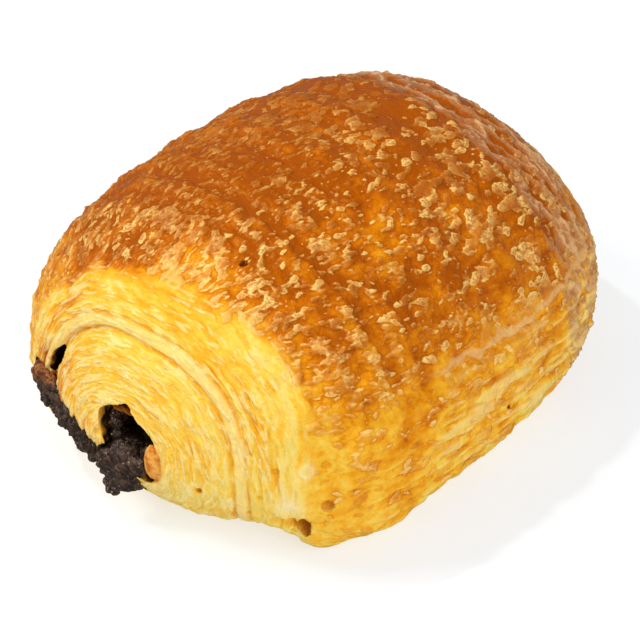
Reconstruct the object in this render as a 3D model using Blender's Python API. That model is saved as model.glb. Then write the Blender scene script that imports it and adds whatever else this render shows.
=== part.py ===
"""A pain au chocolat: a rolled, flaky dough with two chocolate sticks running through it.

The roll lies along X on the floor z = 0, in metres. Its near end, where the wraps of the
dough and the melted chocolate show, is at -X. The long side with the creases is at -Y.
"""

import math

import bmesh
import bpy
import numpy as np

# The smooth body: a rounded block whose section is widest at SECTION_X
WIDTH = 0.090
HEIGHT = 0.0594
NEAR_LENGTH = 0.0394
FAR_LENGTH = 0.0712
SECTION_X = -0.0160
BELLY_Z = 0.0150

# How square its outlines are: 2 is an ellipse, larger is squarer
SECTION_TOP = 2.07
SECTION_BASE = 3.74
NEAR_TOP = 2.35
NEAR_SIDE = 2.79
NEAR_BASE = 4.33
FAR_TOP = 2.87
FAR_SIDE = 3.46
FAR_BASE = 2.87

# The near end draws back under its belly and towards both sides, and the far end is askew
NEAR_UNDERCUT = 0.0128
UNDERCUT_HEIGHT = 0.022
NEAR_BOW = 0.0119
NEAR_BOW_Y = 0.0044
FAR_SKEW = -0.0306

# The base is pressed flat by the tray
BASE_FLAT = 0.0007

# The wraps of the roll on its ends: closed rings about an eye, as shares of the rim ring
EYE_Y = -0.003
EYE_Z = 0.020
RIM_HALF_WIDTH = 0.033
RIM_HEIGHT = 0.034
RIM_POWER = 2.3
CRUST_EDGE = 1.0
LOBE_EDGE = 0.67
WRAP_BULGE = 0.0006
LOBE_BULGE = 0.0008
GROOVE_DEPTH = 0.0012
GROOVE_WIDTH = 0.050
GROOVE_FADE_Y = -0.012
RIM_RIDGE = 0.0004
NEAR_FACE_X = -0.036
FAR_FACE_X = 0.034
FACE_FADE = 0.008

# Low ridges that ring the roll, and long creases on its -Y side
RIPPLE_PITCH = 0.0133
RIPPLE_HEIGHT = 0.0003
CREASE_DEPTH = 0.0007
CREASE_WIDTH = 0.0022
CREASES = ((0.0345, 0.0290), (0.0185, 0.0150))

# Swellings and hollows of the crust: centre, radius and height
LUMPS = (
    ((-0.0365, -0.0330, 0.0030), 0.0070, 0.0020),
    ((-0.0300, 0.0370, 0.0400), 0.0170, -0.0006),
    ((0.0200, 0.0080, 0.0590), 0.0200, 0.0006),
    ((0.0480, 0.0330, 0.0300), 0.0140, -0.0008),
)

# The grid of the dough: places round the roll, and rings on the near end and along the rest
AROUND = 76
NEAR_RINGS = 24
BODY_RINGS = 31

# The chocolate sticks: x, y and z of the middle of a section, its half width and half height
CLEARANCE = 0.00035
STICK_POWER = 2.6
STICK_AROUND = 14
STICK_STEP = 0.0038
STICK_ROUNDING = 0.0034
STICK_TIP = 0.45
RIGHT_STICK = (
    (-0.0563, -0.0018, 0.0140, 0.0046, 0.0062),
    (-0.0500, -0.0020, 0.0144, 0.0046, 0.0058),
    (-0.0400, -0.0024, 0.0154, 0.0044, 0.0042),
    (0.0440, -0.0030, 0.0154, 0.0044, 0.0040),
    (0.0560, -0.0030, 0.0154, 0.0048, 0.0046),
)
LEFT_STICK = (
    (-0.0522, 0.0222, 0.0198, 0.0036, 0.0048),
    (-0.0450, 0.0226, 0.0190, 0.0038, 0.0046),
    (-0.0360, 0.0226, 0.0176, 0.0042, 0.0040),
    (0.0420, 0.0214, 0.0172, 0.0042, 0.0040),
    (0.0546, 0.0210, 0.0172, 0.0046, 0.0044),
)

# The chocolate that ran out between the wraps, under the lobe, from the left stick
LEAK = (
    (-0.0496, 0.0236, 0.0190),
    (-0.0514, 0.0196, 0.0196),
    (-0.0528, 0.0150, 0.0196),
    (-0.0538, 0.0106, 0.0186),
    (-0.0541, 0.0068, 0.0174),
    (-0.0539, 0.0033, 0.0164),
)
LEAK_HALF_WIDTH = 0.0022
LEAK_HALF_HEIGHT = 0.0025
LEAK_AROUND = 10
LEAK_STEPS = 18

# Openings in the near end: middle y and z, half width, half height, lean, and inner end x
HOLLOW = (-0.0046, 0.0230, 0.0060, 0.0086, 0.22, -0.0430)
SLIT = (0.0176, 0.0275, 0.0016, 0.0054, -0.33, -0.0430)
MOUTH_X = -0.0600
MOUTH_AROUND = 20
MOUTH_NARROWING = 0.62

# The pocket and the bubble at the tail of the dough: centre and half sizes
TAIL_POCKET = ((-0.0385, -0.0353, 0.0128), (0.0022, 0.0020, 0.0027))
TAIL_BUBBLE = ((-0.0368, -0.0386, 0.0180), (0.0013, 0.0013, 0.0013))
POCKET_SIDES = 12


def signed_power(value, power):
    """value to a power, keeping its sign."""
    return np.sign(value) * np.abs(value) ** power


def ease(value):
    """0 below 0, 1 above 1 and smooth between."""
    t = np.clip(value, 0.0, 1.0)
    return t * t * (3.0 - 2.0 * t)


def smooth_body(turn, slant):
    """Points of the body without relief. turn goes round X, slant from the near end to the far one."""
    upper = np.sin(turn) >= 0.0
    section = np.where(upper, SECTION_TOP, SECTION_BASE)
    across = signed_power(np.cos(turn), 2.0 / section)
    rise = signed_power(np.sin(turn), 2.0 / section)
    side = np.cos(turn) ** 2
    near_middle = np.where(upper, NEAR_TOP, NEAR_BASE)
    far_middle = np.where(upper, FAR_TOP, FAR_BASE)
    near = near_middle + (NEAR_SIDE - near_middle) * side
    far = far_middle + (FAR_SIDE - far_middle) * side
    power = np.where(slant < 0.0, near, far)
    reach = np.abs(np.cos(slant)) ** (2.0 / power)
    length = np.where(slant < 0.0, NEAR_LENGTH, FAR_LENGTH)
    x = length * signed_power(np.sin(slant), 2.0 / power)
    y = reach * 0.5 * WIDTH * across
    z = BELLY_Z + reach * np.where(upper, HEIGHT - BELLY_Z, BELLY_Z) * rise
    near_share = np.clip(-x / NEAR_LENGTH, 0.0, 1.0) ** 2
    far_share = np.clip(x / FAR_LENGTH, 0.0, 1.0) ** 2
    low = np.clip(1.0 - z / UNDERCUT_HEIGHT, 0.0, 1.0) ** 2
    bow = NEAR_BOW * ((y - NEAR_BOW_Y) / (0.5 * WIDTH)) ** 2
    x = x + near_share * (NEAR_UNDERCUT * low + bow) + far_share * FAR_SKEW * y
    return np.stack([x + SECTION_X, y, z], axis=-1)


def even_turns(count):
    """Angles round the widest section at even distances along its outline."""
    dense = np.linspace(0.0, 2.0 * math.pi, 4001)
    outline = smooth_body(dense, np.zeros_like(dense))
    steps = np.linalg.norm(np.diff(outline, axis=0), axis=1)
    travelled = np.concatenate([[0.0], np.cumsum(steps)])
    wanted = np.linspace(0.0, travelled[-1], count, endpoint=False)
    return np.interp(wanted, travelled, dense)


def body_grid():
    """Rings of points from the near end to the far end, evenly spaced along each meridian."""
    turns = even_turns(AROUND)
    slants = np.linspace(-0.5 * math.pi, 0.5 * math.pi, 3001)
    rings = np.empty((NEAR_RINGS + BODY_RINGS, AROUND, 3))
    for place, turn in enumerate(turns):
        line = smooth_body(np.full_like(slants, turn), slants)
        steps = np.linalg.norm(np.diff(line, axis=0), axis=1)
        travelled = np.concatenate([[0.0], np.cumsum(steps)])
        waist = np.interp(-0.25 * math.pi, slants, travelled)
        near = np.linspace(0.0, waist, NEAR_RINGS + 1)[1:]
        rest = np.linspace(waist, travelled[-1], BODY_RINGS + 2)[1:-1]
        wanted = np.concatenate([near, rest])
        for axis in range(3):
            rings[:, place, axis] = np.interp(wanted, travelled, line[:, axis])
    ends = smooth_body(np.zeros(2), np.array([-0.5 * math.pi, 0.5 * math.pi]))
    return rings, ends


def grid_normals(rings):
    """Outward normals of a grid of rings."""
    round_way = np.roll(rings, -1, axis=1) - np.roll(rings, 1, axis=1)
    long_way = np.gradient(rings, axis=0)
    normals = np.cross(round_way, long_way)
    normals /= np.linalg.norm(normals, axis=-1, keepdims=True)
    outward = rings - np.array([0.0, 0.0, BELLY_Z])
    sign = np.sign((normals * outward).sum(axis=-1, keepdims=True).mean())
    return normals * sign


def ring_share(points):
    """How far a point lies from the eye of the roll, as a share of the rim ring."""
    across = np.abs(points[..., 1] - EYE_Y) / RIM_HALF_WIDTH
    up = np.abs(points[..., 2] - EYE_Z) / RIM_HEIGHT
    return (across**RIM_POWER + up**RIM_POWER) ** (1.0 / RIM_POWER)


def pillow(share, low, high):
    """A rounded swelling between two shares of the rim ring."""
    t = np.clip((share - low) / (high - low), 0.0, 1.0)
    return np.sin(math.pi * t)


def end_relief(points):
    """The wraps of the dough that show at each end of the roll."""
    share = ring_share(points)
    open_side = ease((points[..., 1] - GROOVE_FADE_Y) / RIM_HALF_WIDTH)
    relief = WRAP_BULGE * pillow(share, LOBE_EDGE, CRUST_EDGE)
    relief += LOBE_BULGE * pillow(share, -LOBE_EDGE, LOBE_EDGE)
    relief -= GROOVE_DEPTH * open_side * np.exp(-(((share - LOBE_EDGE) / GROOVE_WIDTH) ** 2))
    relief += RIM_RIDGE * np.exp(-(((share - CRUST_EDGE) / GROOVE_WIDTH) ** 2))
    near = ease((NEAR_FACE_X - points[..., 0]) / FACE_FADE)
    far = ease((points[..., 0] - FAR_FACE_X) / FACE_FADE)
    return relief * (near + far)


def crust_relief(points):
    """Ripples that ring the roll and creases along its -Y side."""
    x, y, z = points[..., 0], points[..., 1], points[..., 2]
    middle = ease((x - NEAR_FACE_X) / FACE_FADE) * ease((FAR_FACE_X + FACE_FADE - x) / FACE_FADE)
    crown = ease((z - 0.02) / 0.02)
    phase = 2.0 * math.pi * (x + 0.08 * y) / RIPPLE_PITCH
    relief = RIPPLE_HEIGHT * middle * crown * np.cos(phase)
    front = ease((-y - 0.030) / 0.008)
    for near_z, far_z in CREASES:
        line = near_z + (far_z - near_z) * ease((x + 0.025) / 0.055)
        relief -= CREASE_DEPTH * front * middle * np.exp(-(((z - line) / CREASE_WIDTH) ** 2))
    return relief


def lump_relief(points):
    """Single swellings and hollows."""
    relief = np.zeros(points.shape[:-1])
    for centre, radius, height in LUMPS:
        away = np.linalg.norm(points - np.array(centre), axis=-1)
        relief += height * np.exp(-((away / radius) ** 2))
    return relief


def add_object(name, points, faces):
    """A mesh object with its faces pointing out, shaded smooth."""
    mesh = bpy.data.meshes.new(name)
    mesh.from_pydata([tuple(p) for p in points], [], faces)
    shape = bmesh.new()
    shape.from_mesh(mesh)
    bmesh.ops.recalc_face_normals(shape, faces=shape.faces)
    shape.to_mesh(mesh)
    shape.free()
    mesh.shade_smooth()
    thing = bpy.data.objects.new(name, mesh)
    bpy.context.scene.collection.objects.link(thing)
    return thing


def loft(name, rings, first, last):
    """A closed skin over rings of points, closed by a fan to one point at each end."""
    count, around = rings.shape[:2]
    points = list(rings.reshape(-1, 3)) + [first, last]
    faces = []
    for row in range(count - 1):
        for place in range(around):
            following = (place + 1) % around
            low = row * around
            high = low + around
            faces.append((low + place, low + following, high + following, high + place))
    start = count * around
    top = (count - 1) * around
    for place in range(around):
        following = (place + 1) % around
        faces.append((start, following, place))
        faces.append((start + 1, top + place, top + following))
    return add_object(name, points, faces)


def make_dough():
    """The whole roll, before anything is cut out of it."""
    rings, ends = body_grid()
    relief = end_relief(rings) + crust_relief(rings) + lump_relief(rings)
    rings = rings + grid_normals(rings) * relief[..., None]
    near_pole, far_pole = ends
    near_pole = near_pole - np.array([LOBE_BULGE, 0.0, 0.0])
    far_pole = far_pole + np.array([LOBE_BULGE, 0.0, 0.0])
    rings[..., 2] = np.maximum(rings[..., 2] - BASE_FLAT, 0.0)
    return loft("dough", rings, near_pole, far_pole)


def station(stations, x):
    """The section of a stick at x: y, z, half width and half height."""
    places = [s[0] for s in stations]
    index = int(np.clip(np.searchsorted(places, x) - 1, 0, len(places) - 2))
    low, high = stations[index], stations[index + 1]
    share = float(ease((x - low[0]) / (high[0] - low[0])))
    return [low[k] + (high[k] - low[k]) * share for k in range(1, 5)]


def stick_ring(x, section, grow, scale):
    """One uneven ring of a stick, in the plane at x."""
    y, z, half_width, half_height = section
    angle = np.linspace(0.0, 2.0 * math.pi, STICK_AROUND, endpoint=False)
    lumps = 1.0 + 0.05 * np.sin(3.0 * angle + 420.0 * x) + 0.04 * np.sin(2.0 * angle - 730.0 * x)
    across = signed_power(np.cos(angle), 2.0 / STICK_POWER)
    rise = signed_power(np.sin(angle), 2.0 / STICK_POWER)
    ring = np.empty((STICK_AROUND, 3))
    ring[:, 0] = x
    ring[:, 1] = y + (half_width + grow) * scale * lumps * across
    ring[:, 2] = z + (half_height + grow) * scale * lumps * rise
    return ring


def stick_places(stations):
    """The x of each ring of a stick, closer together at its ends."""
    first, last = stations[0][0], stations[-1][0]
    inner = np.linspace(first + STICK_ROUNDING, last - STICK_ROUNDING, round((last - first) / STICK_STEP))
    ends = STICK_ROUNDING * np.array([0.0, 0.3])
    return np.concatenate([first + ends, inner, last - ends[::-1]])


def stick_rings(stations):
    """The rings of a stick, rounded off at both ends."""
    first, last = stations[0][0], stations[-1][0]
    rings = []
    for x in stick_places(stations):
        depth = min(x - first, last - x) / STICK_ROUNDING
        bulge = math.sqrt(1.0 - (1.0 - min(depth, 1.0)) ** 2)
        scale = STICK_TIP + (1.0 - STICK_TIP) * bulge
        rings.append(stick_ring(x, station(stations, x), 0.0, scale))
    return np.array(rings)


def make_stick(name, stations):
    """A chocolate stick."""
    rings = stick_rings(stations)
    return loft(name, rings, rings[0].mean(axis=0), rings[-1].mean(axis=0))


def tunnel(name, stations):
    """The space that a stick needs in the dough, open at both ends."""
    places = np.concatenate([[MOUTH_X], stick_places(stations), [-MOUTH_X]])
    inside = np.clip(places, stations[0][0], stations[-1][0])
    rings = np.array([stick_ring(x, station(stations, x), CLEARANCE, 1.0) for x in inside])
    rings[:, :, 0] = places[:, None]
    return loft(name, rings, rings[0].mean(axis=0), rings[-1].mean(axis=0))


def leak_rings(grow):
    """Rings of the run of chocolate along the lower edge of the near end."""
    route = np.array(LEAK)
    knots = np.linspace(0.0, 1.0, len(route))
    share = np.linspace(0.0, 1.0, LEAK_STEPS)
    centres = np.stack([np.interp(share, knots, route[:, axis]) for axis in range(3)], axis=1)
    angle = np.linspace(0.0, 2.0 * math.pi, LEAK_AROUND, endpoint=False)
    rings = []
    for place, centre in enumerate(centres):
        swell = 1.0 + 0.14 * math.sin(2.3 * place) + 0.08 * math.sin(4.1 * place)
        ring = np.tile(centre, (LEAK_AROUND, 1))
        ring[:, 0] += (LEAK_HALF_WIDTH * swell + grow) * np.cos(angle)
        ring[:, 2] += (LEAK_HALF_HEIGHT * swell + grow) * np.sin(angle)
        rings.append(ring)
    return np.array(rings)


def make_leak(name, grow):
    """The run of chocolate, or the channel that it needs in the dough."""
    rings = leak_rings(grow)
    along = np.array([0.0, grow, 0.0])
    return loft(name, rings, rings[0].mean(axis=0) + along, rings[-1].mean(axis=0) - along)


def mouth(name, opening):
    """An opening in the near end that narrows inwards."""
    y, z, half_width, half_height, lean, inner_x = opening
    angle = np.linspace(0.0, 2.0 * math.pi, MOUTH_AROUND, endpoint=False)
    rings = []
    for share in (0.0, 0.45, 0.8, 1.0):
        scale = 1.0 - (1.0 - MOUTH_NARROWING) * share**2
        up = half_height * scale * np.sin(angle)
        ring = np.empty((MOUTH_AROUND, 3))
        ring[:, 0] = MOUTH_X + (inner_x - MOUTH_X) * share
        ring[:, 1] = y + half_width * scale * np.cos(angle) + lean * up
        ring[:, 2] = z + up
        rings.append(ring)
    rings = np.array(rings)
    return loft(name, rings, rings[0].mean(axis=0), rings[-1].mean(axis=0))


def pocket(name, place):
    """A small egg-shaped hole."""
    centre, halves = place
    shape = bmesh.new()
    bmesh.ops.create_uvsphere(shape, u_segments=POCKET_SIDES, v_segments=POCKET_SIDES // 2, radius=1.0)
    points = [np.array(v.co) * np.array(halves) + np.array(centre) for v in shape.verts]
    faces = [tuple(v.index for v in face.verts) for face in shape.faces]
    shape.free()
    return add_object(name, points, faces)


def as_guide(thing):
    """Marks an object that only shapes another one."""
    thing.hide_render = True
    thing.display_type = "WIRE"


def cut_out(dough, cutters):
    """Takes all the cutters out of the dough."""
    folder = bpy.data.collections.new("cutters")
    bpy.context.scene.collection.children.link(folder)
    for cutter in cutters:
        bpy.context.scene.collection.objects.unlink(cutter)
        folder.objects.link(cutter)
        as_guide(cutter)
    cut = dough.modifiers.new("openings", "BOOLEAN")
    cut.operation = "DIFFERENCE"
    cut.operand_type = "COLLECTION"
    cut.collection = folder


def fuse(thing, other):
    """Joins another shape to an object."""
    as_guide(other)
    join = thing.modifiers.new("run", "BOOLEAN")
    join.operation = "UNION"
    join.object = other


def material(name, colour, roughness):
    """A plain finish."""
    made = bpy.data.materials.new(name)
    made.use_nodes = True
    shader = made.node_tree.nodes["Principled BSDF"]
    shader.inputs["Base Color"].default_value = (*colour, 1.0)
    shader.inputs["Roughness"].default_value = roughness
    shader.inputs["Metallic"].default_value = 0.0
    return made


def main():
    """Builds the dough and the two sticks."""
    for old in list(bpy.data.objects):
        bpy.data.objects.remove(old)
    dough = make_dough()
    right = make_stick("stick_right", RIGHT_STICK)
    left = make_stick("stick_left", LEFT_STICK)
    fuse(left, make_leak("leak", 0.0))
    cut_out(
        dough,
        [
            tunnel("tunnel_right", RIGHT_STICK),
            tunnel("tunnel_left", LEFT_STICK),
            make_leak("channel", CLEARANCE),
            mouth("hollow", HOLLOW),
            mouth("slit", SLIT),
            pocket("tail_pocket", TAIL_POCKET),
            pocket("tail_bubble", TAIL_BUBBLE),
        ],
    )
    crust = material("crust", (0.58, 0.26, 0.05), 0.35)
    chocolate = material("chocolate", (0.030, 0.014, 0.009), 0.30)
    dough.data.materials.append(crust)
    right.data.materials.append(chocolate)
    left.data.materials.append(chocolate)


main()
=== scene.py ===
"""The looks of a pain au chocolat: a flaky glazed dough with chocolate showing at its ends.

Lengths are in metres, apart from the tables that are read by metres(). The roll lies along X on
the floor z = 0, its shown end at -X and its shown long side at -Y.
"""

import math
from functools import partial
from types import SimpleNamespace

import bpy
import numpy as np
from mathutils import Matrix, Vector, kdtree

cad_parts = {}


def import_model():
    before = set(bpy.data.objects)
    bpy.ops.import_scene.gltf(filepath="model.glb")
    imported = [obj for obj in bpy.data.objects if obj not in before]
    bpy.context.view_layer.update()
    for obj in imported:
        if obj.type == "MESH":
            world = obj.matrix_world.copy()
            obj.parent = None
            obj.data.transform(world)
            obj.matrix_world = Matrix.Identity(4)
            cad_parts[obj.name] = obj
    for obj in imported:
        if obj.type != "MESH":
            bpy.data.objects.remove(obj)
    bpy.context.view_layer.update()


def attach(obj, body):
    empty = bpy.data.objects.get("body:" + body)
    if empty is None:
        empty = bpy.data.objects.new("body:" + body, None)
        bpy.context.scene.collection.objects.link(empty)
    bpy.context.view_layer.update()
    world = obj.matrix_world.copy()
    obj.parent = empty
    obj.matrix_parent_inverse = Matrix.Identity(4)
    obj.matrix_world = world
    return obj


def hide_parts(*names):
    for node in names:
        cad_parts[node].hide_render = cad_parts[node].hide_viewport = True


SEED = 11


def metres(rows, count=9):
    """Rows in metres, of which the first values were given in millimetres."""
    return [tuple(round(0.001 * value, 7) for value in row[:count]) + row[count:] for row in rows]


# The smooth body, as in the solid
WIDTH = 0.09
HEIGHT = 0.0594
NEAR_LENGTH = 0.0394
FAR_LENGTH = 0.0712
SECTION_X = -0.016
BELLY_Z = 0.015
SECTION_TOP = 2.07
SECTION_BASE = 3.74
NEAR_TOP = 2.35
NEAR_SIDE = 2.79
NEAR_BASE = 4.33
FAR_TOP = 2.87
FAR_SIDE = 3.46
FAR_BASE = 2.87
NEAR_UNDERCUT = 0.0128
UNDERCUT_HEIGHT = 0.022
NEAR_BOW = 0.0119
NEAR_BOW_Y = 0.0044
FAR_SKEW = -0.0306
BASE_FLAT = 0.0007

# The wraps on its ends
EYE_Y = -0.003
EYE_Z = 0.02
RIM_HALF_WIDTH = 0.033
RIM_HEIGHT = 0.034
RIM_POWER = 2.3
CRUST_EDGE = 1.0
LOBE_EDGE = 0.67
WRAP_BULGE = 0.0006
LOBE_BULGE = 0.0008
GROOVE_DEPTH = 0.0012
GROOVE_WIDTH = 0.05
GROOVE_FADE_Y = -0.012
RIM_RIDGE = 0.0004
NEAR_FACE_X = -0.036
FAR_FACE_X = 0.034
FACE_FADE = 0.008

# Ripples, bands and creases
RIPPLE_PITCH = 0.0133
RIPPLE_HEIGHT = 0.0003
BAND_PITCH = 0.0074
BAND_X = -0.0345
CREASE_DEPTH = 0.0007
CREASE_WIDTH = 0.0016
CREASES = ((0.0345, 0.029), (0.0185, 0.015))

# Swellings and hollows: place, radius and height
LUMPS = metres((
    (-36.5, -33.0, 3.0, 7.0, 2.0), (-30.0, 37.0, 40.0, 17.0, -1.2),
    (-44.2, -29.0, 0.8, 7.4, -5.6), (-31.0, -42.0, 1.0, 5.0, -1.4),
    (-39.4, -30.0, 4.5, 3.0, -2.0), (20.0, 8.0, 59.0, 20.0, 0.6),
    (48.0, 33.0, 30.0, 14.0, -0.8),
))

# The grid of the dough
AROUND = 480
NEAR_RINGS = 154
BODY_RINGS = 258
BASE_THINNING = 0.2

# The chocolate sticks
CLEARANCE = 0.00035
STICK_POWER = 2.6
STICK_AROUND = 40
STICK_STEP = 0.0012
STICK_ROUNDING = 0.0034
STICK_TIP = 0.45
LUMP_ROWS = 9
LUMP_AROUND = 14

# Sections of the sticks: x, y and z of the middle, half width and half height
RIGHT_STICK = metres((
    (-56.3, -1.1, 14.5, 4.2, 6.0), (-50.0, -2.0, 14.4, 4.6, 5.8), (-40.0, -2.4, 15.4, 4.4, 4.2),
    (44.0, -3.0, 15.4, 4.4, 4.0), (56.0, -3.0, 15.4, 4.8, 4.6),
))
LEFT_STICK = metres((
    (-52.2, 22.2, 19.2, 3.6, 4.2), (-45.0, 22.6, 19.0, 3.8, 4.6), (-36.0, 22.6, 17.6, 4.2, 4.0),
    (42.0, 21.4, 17.2, 4.2, 4.0), (54.6, 21.0, 17.2, 4.6, 4.4),
))

# The run of chocolate: places along it
LEAK = metres((
    (-49.6, 23.6, 19.0), (-51.4, 19.6, 19.6), (-52.8, 15.0, 19.6), (-53.8, 10.6, 18.6),
    (-54.1, 6.8, 17.4), (-53.9, 3.3, 16.4),
))
LEAK_HALF_WIDTH = 0.0022
LEAK_HALF_HEIGHT = 0.0025
LEAK_AROUND = 28
LEAK_STEPS = 80
CHOCOLATE_VOXEL = 0.00028
MILKY_HEAD = (-0.0521, 0.0217, 0.0222)
MILKY_PLACE = (-0.0525, 0.0214, 0.0238)
ABOVE_HEAD = (-0.0512, 0.0216, 0.0264)

# Lumps of chocolate: place and radius, and how each is stretched along the axes
TIP_LUMPS = metres((
    (-54.8, -0.5, 10.8, 2.4, 0.7, 1.0, 1.1), (-54.5, -4.0, 15.0, 2.2, 0.7, 1.0, 1.2),
    (-55.2, 0.5, 16.5, 2.0, 0.8, 1.1, 1.0),
), 4)
HEAD_LUMPS = metres((
    (-52.7, 20.2, 23.6, 1.3), (-53.0, 18.6, 22.8, 1.4), (-53.2, 16.8, 22.2, 1.4),
))
HOLLOW_LUMPS = metres((
    (-53.1, 0.6, 21.0, 1.5), (-53.0, 0.8, 23.4, 1.4), (-52.5, 1.0, 25.6, 1.4),
    (-50.0, 1.6, 23.6, 2.0), (-44.8, 1.2, 20.5, 3.4), (-44.6, 1.0, 26.2, 2.6),
    (-44.4, -7.0, 27.5, 2.6), (-46.2, -4.0, 21.5, 3.4), (-45.0, -7.5, 22.5, 3.0),
    (-45.5, -1.0, 23.5, 2.8), (-44.5, -4.5, 27.5, 3.0), (-50.0, -6.2, 18.0, 2.2),
    (-50.5, 1.0, 19.0, 2.0), (-53.6, -6.0, 17.2, 2.2), (-52.5, -7.2, 20.5, 1.8),
))
SPIKES = metres((
    (-55.3, 1.2, 9.6, 1.1), (-55.5, 0.4, 8.2, 1.0), (-55.1, -0.6, 8.0, 1.0),
    (-55.7, 2.0, 11.8, 1.0), (-55.8, 2.3, 13.8, 0.9), (-55.6, 2.6, 15.6, 1.0),
))

# Openings in the near end: middle y and z, half width, half height, lean, and inner end x
HOLLOW = (-0.0046, 0.023, 0.0069, 0.0086, 0.22, -0.043)
SLIT = (0.0183, 0.0275, 0.0016, 0.0042, -0.36, -0.043)
MOUTH_X = -0.06
MOUTH_AROUND = 110
MOUTH_RINGS = 60
MOUTH_NARROWING = 0.62
SHOULDER = 0.45

# The low corner: a pocket and a bubble by place and half widths, and folds by both ends
TAIL_POCKET = ((-0.0387, -0.035, 0.012), (0.0024, 0.0015, 0.0042))
TAIL_BUBBLE = ((-0.037, -0.0387, 0.0173), (0.0014, 0.0013, 0.0014))
TAIL_FLAP = (-0.042, -0.0336, 0.0176)
TAIL_TROUGH = ((-0.0424, -0.0315, 0.0121), (-0.0396, -0.035, 0.0128))
TAIL_SLIT = ((-0.0408, -0.0335, 0.0096), (-0.0395, -0.0351, 0.007))
TAIL_FOLD = ((-0.0372, -0.0388, 0.014), (-0.0378, -0.0376, 0.0085))
TAIL_EYE = (-0.0396, -0.0357, 0.0259)

# Bits of dough at the hollow: a glossy orange crumb at its side and a skin across its top
EGG_CRUMB = ((-0.0537, -0.0099, 0.0206), (0.0013, 0.0021, 0.004))
SKIN_BRIDGE = (
    ((-0.0523, 0.0004, 0.0272), (0.0008, 0.0016, 0.0006)),
    ((-0.0523, -0.002, 0.0279), (0.0008, 0.0017, 0.0006)),
)

# Small pits: place, radius, depth, and how dark their painted shade is
PITS = metres((
    (-50.6, -18.8, 17.6, 0.7, 0.7, 0.35), (-49.9, -15.8, 12.1, 0.5, 0.6, 0.3),
    (-51.7, -14.3, 15.5, 0.4, 0.6, 0.3), (-51.8, -15.6, 17.5, 0.4, 0.6, 0.35),
    (-47.8, -23.0, 10.0, 0.5, 0.4, 0.2), (-43.6, -31.5, 25.7, 0.6, 0.3, 0.12),
    (-45.7, -29.6, 19.2, 0.4, 0.3, 0.14), (-45.8, -27.2, 28.6, 0.5, 0.3, 0.12),
    (-46.1, -27.0, 13.8, 0.4, 0.4, 0.22), (-45.2, -27.6, 11.7, 0.5, 0.4, 0.18),
    (-30.4, -10.8, 55.6, 0.5, 0.9, 0.7), (9.0, -44.0, 14.7, 0.4, 0.6, 1.0),
    (-33.0, -42.5, 20.0, 0.6, 0.5, 0.15),
), 5)

# Raised chips of the top layer, and the depth that stands for no chip
FLAKES = 6200
FLAKE_EDGE = 0.00026
NO_FLAKE = -0.0012

# Colours by how far the dough is baked, by how far inside an opening, and of the crumb
CRUST_STOPS = (
    (0.0, (0.92, 0.69, 0.18)),
    (0.15, (0.92, 0.6, 0.075)),
    (0.32, (0.9, 0.44, 0.022)),
    (0.52, (0.76, 0.26, 0.003)),
    (0.72, (0.54, 0.125, 0.0008)),
    (0.9, (0.31, 0.052, 0.0006)),
    (1.0, (0.13, 0.02, 0.0006)),
)
INNER_STOPS = ((0.0, (0.92, 0.62, 0.15)), (0.12, (0.8, 0.38, 0.03)), (0.6, (0.56, 0.18, 0.012)))
EGG_STOPS = ((0.35, (0.62, 0.18, 0.012)), (0.6, (0.9, 0.43, 0.09)))
PALE_FIBRE = (0.97, 0.8, 0.34)

# Ropes: from where to where they fade in, how strongly, and their colour
ROPE_TONES = ((0.08, 0.26, 0.7, (0.46, 0.2, 0.08)), (0.3, 0.44, 0.8, (0.78, 0.45, 0.21)))

# Colours of the chocolate, by how dry it is, and of its milky head
CHOCOLATE_STOPS = (
    (0.25, (0.006, 0.0028, 0.0018)),
    (0.6, (0.022, 0.01, 0.0062)),
    (1.0, (0.085, 0.046, 0.03)),
)
MILKY_STOPS = ((0.38, (0.06, 0.018, 0.005)), (0.62, (0.36, 0.11, 0.022)))

# The camera: where it aims, its bearing and height in degrees, its distance, and how the photo
# frames it: pixels a metre at the target, and the target's place in a 640 pixel square
TARGET = (-0.016, 0.0, 0.0273)
BEARING = -46.046
ELEVATION = 41.278
DISTANCE = 0.6
PIXELS_A_METRE = 5188.8
TARGET_PIXEL = (255.6, 314.8)
PICTURE = 640.0


def signed_power(value, power):
    """value to a power, keeping its sign."""
    return np.sign(value) * np.abs(value) ** power


def ease(value):
    """0 below 0, 1 above 1 and smooth between."""
    t = np.clip(value, 0.0, 1.0)
    return t * t * (3.0 - 2.0 * t)


def mix(low, high, share):
    """low at share 0 and high at share 1."""
    return low + (high - low) * share


def hill(value, middle, width):
    """1 at the middle, falling off on both sides."""
    return np.exp(-(((value - middle) / width) ** 2))


def distance(points, centre, halves=1.0):
    """How far points lie from a place, as a share of half widths if these are given."""
    return np.linalg.norm((points - np.array(centre)) / np.array(halves), axis=-1)


def blob(points, centre, radius, power=2):
    """1 at a place, falling off round it."""
    return np.exp(-((distance(points, centre) / radius) ** power))


def circle(count):
    """Even angles round a circle."""
    return np.linspace(0.0, 2.0 * math.pi, count, endpoint=False)


# Noise


def scramble(cells, seed):
    """A repeatable random whole number for each cell of a lattice."""
    c = cells.astype(np.int64)
    h = c[..., 0] * 73856093 ^ c[..., 1] * 19349663 ^ c[..., 2] * 83492791 ^ (seed * 2654435761)
    h = h & 0xFFFFFFFF
    h = ((h ^ (h >> 16)) * 0x45D9F3B) & 0xFFFFFFFF
    h = ((h ^ (h >> 16)) * 0x45D9F3B) & 0xFFFFFFFF
    return h ^ (h >> 16)


def directions(count):
    """Unit vectors spread evenly over a sphere."""
    k = np.arange(count) + 0.5
    up = 1.0 - 2.0 * k / count
    turn = math.pi * (1.0 + math.sqrt(5.0)) * k
    flat = np.sqrt(1.0 - up * up)
    return np.stack([flat * np.cos(turn), flat * np.sin(turn), up], axis=-1)


SLOPES = directions(256)


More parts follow.
